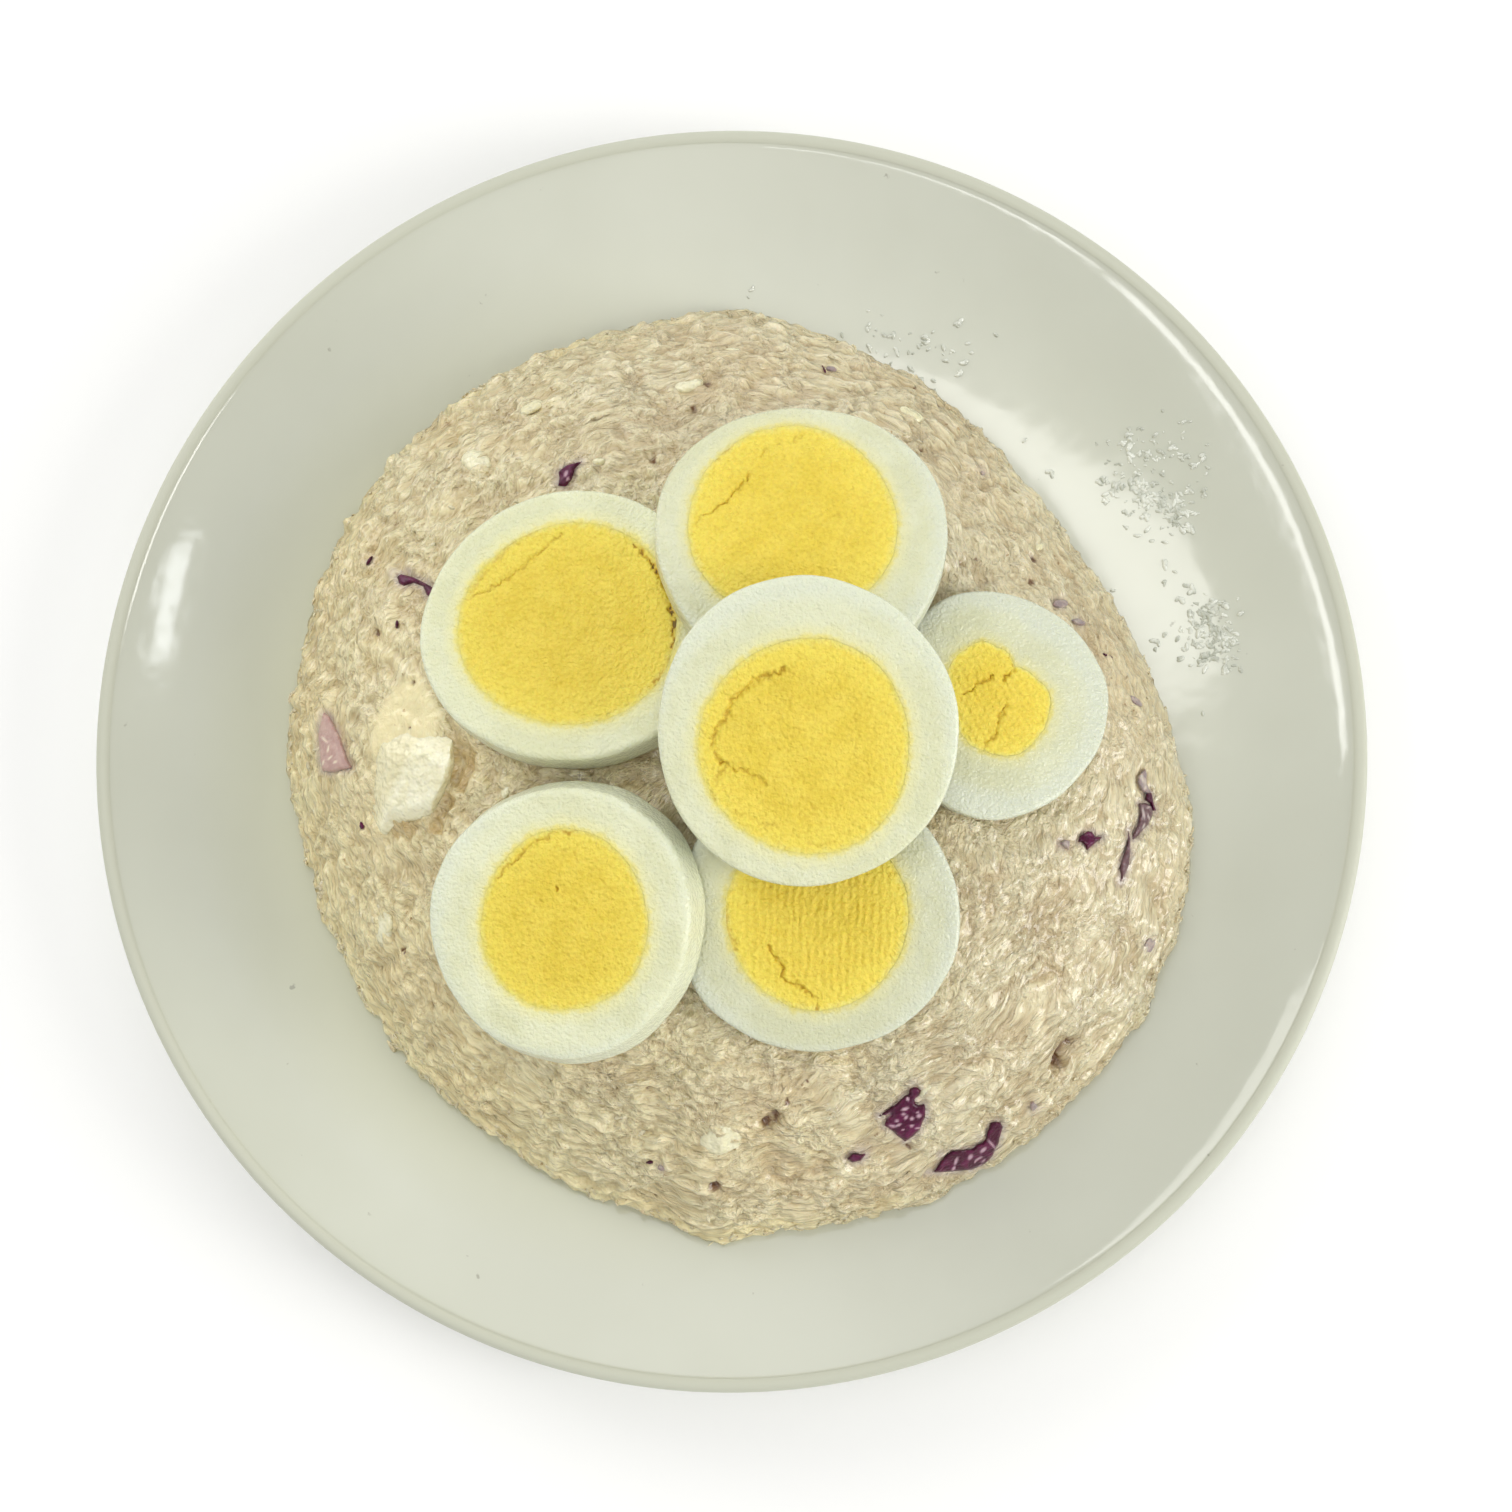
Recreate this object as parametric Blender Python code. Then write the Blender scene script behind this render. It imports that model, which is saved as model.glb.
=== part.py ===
"""Tuna and egg salad: a heap of flaked tuna salad on a round plate, topped with slices of boiled egg.

The heap rises from the plate to a flattish crown. Six egg slices, each a ring of white round a
yolk, lie over the crown and over each other, and the salad fills the space below them. A chunk of
egg white and seven pieces of red onion sit in the heap's sides.

Lengths are millimetres up to `solid`, which turns them into metres. +X is the right of the plate,
+Y its far side, +Z up, and the origin is the centre of the plate's foot on the table.
"""

import math

import bmesh
import bpy
import numpy as np
from mathutils import Matrix, Vector, noise

MM = 0.001
GAP = 0.3                  # clearance between pieces that touch

# The plate: a flat floor, a wall that curves up to a rounded lip, and a foot ring below
PLATE_RADIUS = 101.5
FLOOR_RADIUS = 55.0
FLOOR_TOP = 5.0
FLOOR_BOTTOM = 1.3
WALL_CURVE = 0.006         # rise of the wall for each square millimetre beyond the floor
WALL_THICKNESS = 3.8
CREASE_RADIUS = 99.1       # where the wall meets the lip
LIP_TOP = 17.2
FOOT_OUTER = 60.0
FOOT_INNER = 55.5
PLATE_SEGMENTS = 64

# The heap of salad, its outline given as waves round a mean radius
HEAP_X, HEAP_Y = 1.1, -4.2
HEAP_RADIUS = 73.3
HEAP_TOP = 38.5
HEAP_BULGE = 3.1           # higher is flatter on top and steeper at the side
HEAP_SHOULDER = 0.8
OUTLINE_WAVES = (          # reach, waves in a turn, direction of a crest in degrees
    (0.9, 1, 144.0),
    (3.8, 2, -53.0),
    (1.0, 3, -21.0),
    (0.6, 4, -13.5),
    (0.4, 5, -5.0),
)
FOOT_TIPS = (              # reach, width in degrees, direction in degrees
    (2.0, 4.0, -92.5),
    (1.0, 7.0, 177.0),
    (1.8, 6.0, 89.5),
)
FOOT_EDGE = 1.2            # height of the foot's own edge above the plate
FOOT_TUCK = 1.1            # how far the edge draws in below
HEAP_RINGS = 27            # rings of points from the heap's centre to its foot
RING_CROWDING = 0.10       # moves the rings towards the steep side

# Relief of the flaked fish: size of the lumps and their height
COARSE_LUMPS = (13.0, 0.9)
FINE_LUMPS = (5.5, 0.75)
RAGGED_EDGE = (7.0, 0.9)
EGG_BITS = (               # x, y, radius and height of bits of egg that bulge under the surface
    (-0.8, -61.9, 3.6, 0.9),
    (-6.6, 55.1, 3.0, 1.0),
    (-40.9, 43.9, 3.2, 1.1),
    (-19.2, 41.0, 2.8, 0.8),
    (27.9, 54.0, 3.4, 0.9),
    (-56.4, -30.5, 3.2, 0.8),
)

# Egg slices in the order in which they were laid: plan view of the upper face and of its yolk.
# `flare` is how much wider the lower face is than the upper one, `lean` the tilt and the direction
# in which the slice leans, both in degrees, and `bend` how far its rims hang down along X and Y.
EGG_SLICES = {
    "upper_left": dict(
        place=(-23.0, 14.1), half=(22.5, 21.0), thick=5.8, flare=0.6, lobes=(0.35, 3, 200.0),
        yolk_place=(0.0, 0.0), yolk_half=(16.5, 15.6), yolk_lobes=(0.3, 3, 70.0),
        lean=(9.0, 130.0), bend=(0.9, 0.7)),
    "bottom": dict(
        place=(14.0, -29.0), half=(21.0, 20.5), thick=4.6, flare=0.0, lobes=(0.3, 3, 100.0),
        yolk_place=(-0.1, -0.7), yolk_half=(13.4, 13.2), yolk_lobes=(0.25, 3, 30.0),
        lean=(8.0, -70.0), bend=(0.6, 0.9)),
    "right": dict(
        place=(41.4, 2.8), half=(16.8, 17.5), thick=4.0, flare=-0.5, lobes=(0.55, 3, 250.0),
        yolk_place=(0.0, 0.3), yolk_half=(7.5, 7.9), yolk_lobes=(0.35, 4, 20.0),
        lean=(14.0, 12.0), bend=(0.8, 0.4)),
    "top": dict(
        place=(11.8, 26.3), half=(21.6, 21.9), thick=4.4, flare=0.3, lobes=(0.45, 3, 150.0),
        yolk_place=(-1.4, 2.4), yolk_half=(15.4, 15.3), yolk_lobes=(0.3, 3, 95.0),
        lean=(13.0, 80.0), bend=(0.3, 1.6)),
    "lower_left": dict(
        place=(-23.7, -30.3), half=(19.3, 19.4), thick=5.4, flare=1.8, lobes=(0.3, 3, 40.0),
        yolk_place=(0.8, 0.0), yolk_half=(12.4, 13.1), yolk_lobes=(0.25, 3, 90.0),
        lean=(12.0, 200.0), bend=(0.8, 0.5)),
    "centre": dict(
        place=(12.5, -3.8), half=(21.6, 21.9), thick=4.8, flare=-0.4, lobes=(0.25, 3, 0.0),
        yolk_place=(-0.3, -2.1), yolk_half=(15.0, 15.1), yolk_lobes=(0.3, 3, 60.0),
        lean=(10.0, -82.0), bend=(0.6, 0.6)),
}
SLICE_SEGMENTS = 36
SLICE_EDGE = 0.5           # softening of the white's outer edges
SLICE_SINK = 0.8           # how far a slice presses into the salad
RIM_REACH = 0.4            # a slice also clears what lies this far beyond its rim
SLICE_MARGIN = 4.0         # the heap keeps below a slice this far beyond its rim
HEAP_RAMP = 0.75           # slope of the salad that is heaped against a slice's rim
HEAP_SWELL = 2.5           # how far the salad is heaped up below a slice at most

# Egg white chunk: place, heading in degrees, half sizes, how much of its height stands proud
CHUNK = dict(place=(-48.0, -7.6), heading=68.0, half=(8.8, 5.4, 3.4), proud=0.45)

# Onion pieces: place, heading in degrees, half length and half width, corners and how sharp they
# are, sideways bow of the piece, all lying in the heap's surface
ONIONS = {
    "top": dict(place=(-24.2, 39.2), heading=62.0, half=(2.3, 1.7), corners=(4, 0.10), bow=0.0),
    "upper_left": dict(
        place=(-48.9, 23.4), heading=-32.0, half=(3.3, 0.95), corners=(2, 0.05), bow=-0.9),
    "left": dict(place=(-63.0, -1.4), heading=90.0, half=(4.2, 2.8), corners=(3, 0.22), bow=0.0),
    "front": dict(place=(27.3, -58.9), heading=79.0, half=(4.1, 3.5), corners=(4, 0.14), bow=0.0),
    "front_right": dict(
        place=(37.7, -64.7), heading=36.0, half=(6.0, 2.1), corners=(2, 0.08), bow=1.6),
    "right": dict(place=(64.6, -13.5), heading=60.0, half=(2.9, 1.25), corners=(3, 0.10), bow=0.3),
    "right_low": dict(
        place=(62.2, -19.0), heading=78.0, half=(2.7, 0.85), corners=(2, 0.05), bow=-0.3),
}
ONION_THICKNESS = 1.5
ONION_PROUD = 0.5          # how much of the thickness stands above the salad
ONION_SEGMENTS = 14
SETTLED_BORDER = 3.0       # the salad is smooth this far round a chunk or an onion piece

# Colours, roughness and metallic value of each material
FINISHES = {
    "glazed_plate": ((0.66, 0.68, 0.61), 0.15),
    "tuna_salad": ((0.60, 0.47, 0.33), 0.55),
    "egg_white": ((0.80, 0.82, 0.66), 0.40),
    "egg_yolk": ((0.86, 0.62, 0.10), 0.65),
    "red_onion": ((0.16, 0.03, 0.08), 0.35),
    "pale_onion": ((0.60, 0.38, 0.36), 0.35),
}


# Scene and materials


def clear_scene():
    for thing in list(bpy.data.objects):
        bpy.data.objects.remove(thing, do_unlink=True)


def finish(name):
    """The material called name, made the first time that it is asked for."""
    material = bpy.data.materials.get(name)
    if material is None:
        colour, roughness = FINISHES[name]
        material = bpy.data.materials.new(name)
        material.use_nodes = True
        shader = material.node_tree.nodes["Principled BSDF"]
        shader.inputs["Base Color"].default_value = (*colour, 1.0)
        shader.inputs["Roughness"].default_value = roughness
        shader.inputs["Metallic"].default_value = 0.0
        material.diffuse_color = (*colour, 1.0)
    return material


def solid(name, shape, material):
    """Makes an object of a bmesh in millimetres, in metres and shaded smooth."""
    bmesh.ops.scale(shape, vec=(MM, MM, MM), verts=shape.verts)
    bmesh.ops.recalc_face_normals(shape, faces=shape.faces)
    mesh = bpy.data.meshes.new(name)
    shape.to_mesh(mesh)
    shape.free()
    mesh.shade_smooth()
    mesh.set_sharp_from_angle(angle=math.radians(40))
    mesh.materials.append(finish(material))
    thing = bpy.data.objects.new(name, mesh)
    bpy.context.collection.objects.link(thing)
    return thing


def loops_to_shape(loops, closed):
    """Joins rings of points, each a list of equal length, into a skin.

    A closed skin joins its last ring to its first one, like a tyre. An open one ends in a single
    point at each end, given as a ring of one point.
    """
    shape = bmesh.new()
    rings = [[shape.verts.new(point) for point in ring] for ring in loops]
    pairs = list(zip(rings, rings[1:]))
    if closed:
        pairs.append((rings[-1], rings[0]))
    for ring, following in pairs:
        count = max(len(ring), len(following))
        for i in range(count):
            j = (i + 1) % count
            if len(ring) == 1:
                shape.faces.new((ring[0], following[i], following[j]))
            elif len(following) == 1:
                shape.faces.new((ring[i], following[0], ring[j]))
            else:
                shape.faces.new((ring[i], following[i], following[j], ring[j]))
    return shape


# Plate


def plate_top(radius):
    """Height of the plate's upper surface at a distance from its centre."""
    return FLOOR_TOP + WALL_CURVE * np.maximum(radius - FLOOR_RADIUS, 0.0) ** 2


def plate_profile():
    """Half section of the plate, from the centre of its floor over the lip to its underside."""
    points = [(0.0, FLOOR_TOP), (FLOOR_RADIUS * 0.5, FLOOR_TOP)]
    inside = np.linspace(FLOOR_RADIUS, CREASE_RADIUS, 7)
    points += [(float(radius), float(plate_top(radius))) for radius in inside]
    points += [
        (CREASE_RADIUS + 0.5, LIP_TOP - 0.2),
        (CREASE_RADIUS + 1.3, LIP_TOP),
        (PLATE_RADIUS - 0.35, LIP_TOP - 0.3),
        (PLATE_RADIUS, LIP_TOP - 1.0),
        (PLATE_RADIUS - 0.4, LIP_TOP - 1.8),
    ]
    outside = np.linspace(CREASE_RADIUS - 2.0, FOOT_OUTER + 2.0, 5)
    points += [(float(radius), float(plate_top(radius)) - WALL_THICKNESS) for radius in outside]
    points += [
        (FOOT_OUTER, 0.0),
        (FOOT_INNER, 0.0),
        (FOOT_INNER - 1.0, FLOOR_BOTTOM),
        (0.0, FLOOR_BOTTOM),
    ]
    return points


def make_plate():
    shape = bmesh.new()
    verts = [shape.verts.new((radius, 0.0, height)) for radius, height in plate_profile()]
    edges = [shape.edges.new(pair) for pair in zip(verts, verts[1:])]
    bmesh.ops.spin(shape, geom=verts + edges, cent=(0, 0, 0), axis=(0, 0, 1),
                   angle=math.tau, steps=PLATE_SEGMENTS)
    bmesh.ops.remove_doubles(shape, verts=shape.verts, dist=0.001)
    return solid("plate", shape, "glazed_plate")


# Form of the heap before anything is laid on it


def waves(angle, terms):
    """Sum of waves round a turn, each given by its reach, its count and the angle of a crest."""
    return sum(reach * np.cos(count * (angle - math.radians(crest))) for reach, count, crest in terms)


def heap_radius(angle):
    """The heap's outline: distance of its foot from its centre in a direction."""
    radius = HEAP_RADIUS + waves(angle, OUTLINE_WAVES)
    for reach, width, direction in FOOT_TIPS:
        off = np.angle(np.exp(1j * (angle - math.radians(direction))))
        radius = radius + reach * np.exp(-((off / math.radians(width)) ** 2))
    return radius


def bare_heap(x, y):
    """Height of the smooth heap at a place, and of its foot outside it."""
    angle = np.arctan2(y - HEAP_Y, x - HEAP_X)
    reach = heap_radius(angle)
    part = np.minimum(np.hypot(x - HEAP_X, y - HEAP_Y) / reach, 1.0)
    foot_x, foot_y = HEAP_X + reach * np.cos(angle), HEAP_Y + reach * np.sin(angle)
    foot = plate_top(np.hypot(foot_x, foot_y)) + GAP + FOOT_EDGE
    return foot + (HEAP_TOP - foot) * (1.0 - part**HEAP_BULGE) ** HEAP_SHOULDER


# Egg slices: where they come to lie


def oval(angle, half, lobes):
    """Radius in a direction of a rounded outline with the given half sizes and lobes."""
    mean, spread = (half[0] + half[1]) / 2, (half[0] - half[1]) / 2
    return mean + spread * np.cos(2 * angle) + waves(angle, (lobes,))


class Slice:
    """One egg slice: its outlines in plan view, and the gently bent surface that it lies on."""

    def __init__(self, name, plan):
        self.name = name
        self.plan = plan
        self.level = 0.0
        tilt, direction = (math.radians(value) for value in plan["lean"])
        self.fall = (math.tan(tilt) * math.cos(direction), math.tan(tilt) * math.sin(direction))

    def under(self, x, y):
        """Height of the slice's lower face at a place."""
        u, v = x - self.plan["place"][0], y - self.plan["place"][1]
        hang = [bend / half**2 for bend, half in zip(self.plan["bend"], self.plan["half"])]
        return self.level - self.fall[0] * u - self.fall[1] * v - hang[0] * u * u - hang[1] * v * v

    def normal(self, x, y):
        """Unit normal of the lower face at a place."""
        u, v = x - self.plan["place"][0], y - self.plan["place"][1]
        hang = [bend / half**2 for bend, half in zip(self.plan["bend"], self.plan["half"])]
        across = np.array([self.fall[0] + 2 * hang[0] * u, self.fall[1] + 2 * hang[1] * v, 1.0])
        return across / np.linalg.norm(across)

    def outward(self, x, y):
        """Distance in plan beyond the slice, negative inside, for its upper and lower face."""
        lean = self.normal(*self.plan["place"])[:2] * self.plan["thick"]
        distances = []
        for shift, flare in ((np.zeros(2), 0.0), (lean, self.plan["flare"])):
            off_x = x - self.plan["place"][0] + shift[0]
            off_y = y - self.plan["place"][1] + shift[1]
            radius = oval(np.arctan2(off_y, off_x), self.plan["half"], self.plan["lobes"])
            distances.append(np.hypot(off_x, off_y) - radius - max(flare, 0.0))
        return np.minimum(*distances)

    def lay(self, x, y, support, firm):
        """Lets the slice down on the support, of which the slices are firm and the salad soft.

        Returns the support and what of it is firm, with this slice on it.
        """
        covered = self.outward(x, y) < RIM_REACH
        room = support - self.under(x, y)
        self.level = float(np.mean(room[covered & ~firm])) - SLICE_SINK
        if (covered & firm).any():
            self.level = max(self.level, float(np.max(room[covered & firm])) + GAP)
        upper = self.under(x, y) + self.plan["thick"] / self.normal(*self.plan["place"])[2]
        return np.where(covered, upper, support), firm | covered

    def point(self, centre, radius, angle, height, flare=0.0):
        """A point of the slice: plan radius and angle round centre, height from its lower face."""
        x = centre[0] + radius * math.cos(angle)
        y = centre[1] + radius * math.sin(angle)
        normal = self.normal(x, y)
        thick = self.plan["thick"]
        low_x, low_y = x - normal[0] * thick, y - normal[1] * thick
        foot = np.array([low_x, low_y, self.under(low_x, low_y)])
        spread = flare * (1.0 - height / thick)
        out = np.array([math.cos(angle), math.sin(angle), 0.0]) * spread
        out[2] = -(out[:2] @ normal[:2]) / normal[2]
        return tuple(foot + out + normal * height)


def lay_slices():
    """Lays the slices one after the other on the heap, and returns them."""
    line = np.arange(-80.0, 80.5, 1.0)
    x, y = (grid.ravel() for grid in np.meshgrid(line, line))
    support = bare_heap(x, y)
    firm = np.zeros(len(x), bool)
    slices = []
    for name, plan in EGG_SLICES.items():
        piece = Slice(name, plan)
        support, firm = piece.lay(x, y, support, firm)
        slices.append(piece)
    return slices


# Egg slices: their solids


def slice_angles():
    return [math.tau * i / SLICE_SEGMENTS for i in range(SLICE_SEGMENTS)]


def yolk_outline(piece, grow):
    """Centre of the yolk and its plan radius in each direction."""
    plan = piece.plan
    centre = (plan["place"][0] + plan["yolk_place"][0], plan["place"][1] + plan["yolk_place"][1])
    radii = [float(oval(a, plan["yolk_half"], plan["yolk_lobes"])) + grow for a in slice_angles()]
    return centre, radii


def make_white(piece):
    """The ring of egg white, with soft outer edges."""
    plan = piece.plan
    thick = plan["thick"]
    centre, inner = yolk_outline(piece, GAP / 2)
    outer = [float(oval(a, plan["half"], plan["lobes"])) for a in slice_angles()]
    section = (             # height, inset from the widest outline
        (thick, SLICE_EDGE * 1.4),
        (thick - SLICE_EDGE * 1.6, 0.0),
        (SLICE_EDGE * 1.6, 0.0),
        (0.0, SLICE_EDGE * 1.4),
    )
    loops = []
    for height, inset in section:
        loops.append([
            piece.point(plan["place"], radius - inset, angle, height, plan["flare"])
            for radius, angle in zip(outer, slice_angles())])
    for height in (0.0, thick):
        loops.append([
            piece.point(centre, radius, angle, height) for radius, angle in zip(inner, slice_angles())])
    return solid("egg_white_" + piece.name, loops_to_shape(loops, closed=True), "egg_white")


def make_yolk(piece):
    """The yolk, a disc that runs through the slice."""
    centre, radii = yolk_outline(piece, -GAP / 2)
    loops = [[piece.point(centre, 0.0, 0.0, 0.0)]]
    for height, share in ((0.0, 0.5), (0.0, 1.0), (piece.plan["thick"], 1.0), (piece.plan["thick"], 0.5)):
        loops.append([
            piece.point(centre, radius * share, angle, height)
            for radius, angle in zip(radii, slice_angles())])
    loops.append([piece.point(centre, 0.0, 0.0, piece.plan["thick"])])
    return solid("egg_yolk_" + piece.name, loops_to_shape(loops, closed=False), "egg_yolk")


# Heap: its surface below and round the slices


def lumps(x, y, size, height):
    """Relief of lumps of about a size, for one place."""
    return height * noise.noise(Vector((x / size, y / size, size)))


def settled(x, y):
    """0 close to a chunk or an onion piece, where the salad is smooth, and 1 away from them."""
    calm = 1.0
    for plan in (CHUNK, *ONIONS.values()):
        away = math.hypot(x - plan["place"][0], y - plan["place"][1]) - max(plan["half"][:2])
        calm = min(calm, max(away / SETTLED_BORDER, 0.0))
    return calm


def relief(x, y):
    """Height of the flaked surface above the smooth heap."""
    rough = lumps(x, y, *COARSE_LUMPS) + lumps(x, y, *FINE_LUMPS)
    for bit_x, bit_y, radius, height in EGG_BITS:
        rough += height * math.exp(-((x - bit_x) ** 2 + (y - bit_y) ** 2) / radius**2)
    return rough * settled(x, y)


def heap_height(x, y, slices, rough):
    """Height of the salad: heaped up under the slices and kept below them."""
    bare = bare_heap(x, y)
    height = bare + rough
    away = [piece.outward(x, y) for piece in slices]
    level = [piece.under(x, y) - GAP for piece in slices]
    for distance, top in zip(away, level):
        heaped = np.minimum(top, bare + HEAP_SWELL) - HEAP_RAMP * np.maximum(distance, 0.0)
        height = np.where(distance < SLICE_MARGIN * 2, np.maximum(height, heaped), height)
    for distance, top in zip(away, level):
        height = np.where(distance < SLICE_MARGIN, np.minimum(height, top), height)
    return height


def heap_place(part, angle, inset=0.0):
    """Plan place at a share of the way from the heap's centre to its ragged outline."""
    ragged = lumps(math.cos(angle) * HEAP_RADIUS, math.sin(angle) * HEAP_RADIUS, *RAGGED_EDGE)
    reach = part * (float(heap_radius(angle)) + ragged) - inset
    return HEAP_X + reach * math.cos(angle), HEAP_Y + reach * math.sin(angle)


def ring_spots():
    """Rings of 6, 12, 18 ... spots round the centre: the share of the way to the foot, and angle."""
    rings = [[(0.0, 0.0)]]
    for ring in range(1, HEAP_RINGS + 1):
        share = ring / HEAP_RINGS
        share += RING_CROWDING * math.sin(math.pi * share)
        rings.append([(share, math.tau * i / (6 * ring)) for i in range(6 * ring)])
    return rings


def join_rings(shape, inner, outer):
    """Fills the band between a ring of 6 n points and the next one, of 6 more, with triangles."""
    count, following = len(inner) // 6, len(outer) // 6
    for sector in range(6):
        for i in range(following):
            near = inner[(sector * count + i) % len(inner)]
            first = outer[sector * following + i]
            second = outer[(sector * following + i + 1) % len(outer)]
            shape.faces.new((near, first, second))
            if i < count:
                beside = inner[(sector * count + i + 1) % len(inner)]
                shape.faces.new((near, second, beside))


def make_heap(slices):
    shape = bmesh.new()
    rings = ring_spots()
    spots = [spot for ring in rings for spot in ring]
    places = np.array([heap_place(*spot) for spot in spots])
    edge_fade = np.array([min(1.0, (1.0 - share) * 12) for share, _ in spots])
    rough = np.array([relief(x, y) for x, y in places]) * edge_fade
    heights = heap_height(places[:, 0], places[:, 1], slices, rough)
    points = iter(shape.verts.new((x, y, z)) for (x, y), z in zip(places, heights))
    verts = [[next(points) for _ in ring] for ring in rings]
    for inner, outer in zip(verts, verts[1:]):
        join_rings(shape, inner, outer)
    # the foot draws in below its edge, and the underside follows the plate to its flat floor
    last = verts[-1]
    for part, inset in ((1.0, FOOT_TUCK), (0.83, 0.0), (0.66, 0.0)):
        lower = []
        for _, angle in rings[-1]:
            x, y = heap_place(part, angle, inset)
            lower.append(shape.verts.new((x, y, float(plate_top(math.hypot(x, y))) + GAP)))
        for i, (high, low) in enumerate(zip(last, lower)):
            following = (i + 1) % len(last)
            shape.faces.new((high, last[following], lower[following], low))
        last = lower
    shape.faces.new(last)
    return solid("salad", shape, "tuna_salad")


# Chunk and onion pieces, sunk in the heap


def surface_frame(place, heading, slices):
    """Matrix that stands on the heap's surface at a place, its X axis along a heading."""
    x, y = place
    step = 2.0
    xs = np.array([x, x + step, x - step, x, x])
    ys = np.array([y, y, y, y + step, y - step])
    heights = heap_height(xs, ys, slices, 0.0)
    up = Vector(((heights[2] - heights[1]) / (2 * step), (heights[4] - heights[3]) / (2 * step), 1.0))
    up.normalize()
    along = Vector((math.cos(math.radians(heading)), math.sin(math.radians(heading)), 0.0))
    along = (along - up * along.dot(up)).normalized()
    frame = Matrix((along, up.cross(along), up)).transposed().to_4x4()
    frame.translation = (x, y, float(heights[0]))
    return frame


def chunk_shape(slices, grow):
    """A rounded lump with one flatter, cut-looking end, larger by grow all round."""
    half = [size + grow for size in CHUNK["half"]]
    shape = bmesh.new()
    bmesh.ops.create_icosphere(shape, subdivisions=3, radius=1.0)
    for vert in shape.verts:
        u, v, w = vert.co
        swell = 1.0 + 0.10 * math.sin(2.3 * u + 1.0) - 0.08 * v * u
        vert.co = (half[0] * u, half[1] * v * swell, half[2] * w * (1.0 - 0.18 * u))
    frame = surface_frame(CHUNK["place"], CHUNK["heading"], slices)
    sunk = CHUNK["half"][2] * (1.0 - 2 * CHUNK["proud"])
    bmesh.ops.transform(shape, matrix=frame @ Matrix.Translation((0, 0, -sunk)), verts=shape.verts)
    return shape


def onion_shape(plan, slices, grow):
    """A thin piece of onion with a few blunt corners, larger by grow all round."""
    length, width = (size + grow for size in plan["half"])
    corners, sharpness = plan["corners"]
    low = ONION_PROUD - ONION_THICKNESS - grow
    high = ONION_PROUD + grow

    def point(share, turn, height):
        angle = math.tau * turn / ONION_SEGMENTS
        size = share * (1.0 + sharpness * math.cos(corners * angle))
        u, v = size * math.cos(angle), size * math.sin(angle)
        return (length * u, width * v + plan["bow"] * (u * u - 0.4), height)

    loops = [[point(0.0, 0, low)]]
    for share, height in ((0.5, low), (1.0, low), (1.0, high), (0.5, high)):
        loops.append([point(share, turn, height) for turn in range(ONION_SEGMENTS)])
    loops.append([point(0.0, 0, high)])
    shape = loops_to_shape(loops, closed=False)
    frame = surface_frame(plan["place"], plan["heading"], slices)
    bmesh.ops.transform(shape, matrix=frame, verts=shape.verts)
    return shape


def cut_pocket(heap, cutter):
    """Takes the cutter's form out of the heap, and removes the cutter."""
    cutter.hide_render = True
    cutter.display_type = "WIRE"
    pocket = heap.modifiers.new("pocket", "BOOLEAN")
    pocket.operation = "DIFFERENCE"
    pocket.object = cutter
    with bpy.context.temp_override(object=heap, active_object=heap):
        bpy.ops.object.modifier_apply(modifier=pocket.name)
    bpy.data.objects.remove(cutter, do_unlink=True)


def make_sunk_pieces(heap, slices):
    solid("egg_chunk", chunk_shape(slices, 0.0), "egg_white")
    cut_pocket(heap, solid("pocket", chunk_shape(slices, GAP), "tuna_salad"))
    for name, plan in ONIONS.items():
        material = "pale_onion" if name == "left" else "red_onion"
        solid("onion_" + name, onion_shape(plan, slices, 0.0), material)
        cut_pocket(heap, solid("pocket", onion_shape(plan, slices, GAP), "tuna_salad"))


def main():
    clear_scene()
    make_plate()
    slices = lay_slices()
    for piece in slices:
        make_white(piece)
        make_yolk(piece)
    heap = make_heap(slices)
    make_sunk_pieces(heap, slices)


main()
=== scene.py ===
# %% [markdown]
# # Tuna and egg salad on a plate
# This lesson dresses a plain solid model of a plate of tuna salad until it looks like the real dish.
# The solids give the size and place of each piece. Every piece made here rides on them, in metres,
# with +Z up, and lengths in the helpers are millimetres because food is easier to think of that way.

# %% Load the frame
import math

import bpy
import numpy as np
from mathutils import Matrix, Vector, noise
from mathutils.bvhtree import BVHTree


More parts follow.
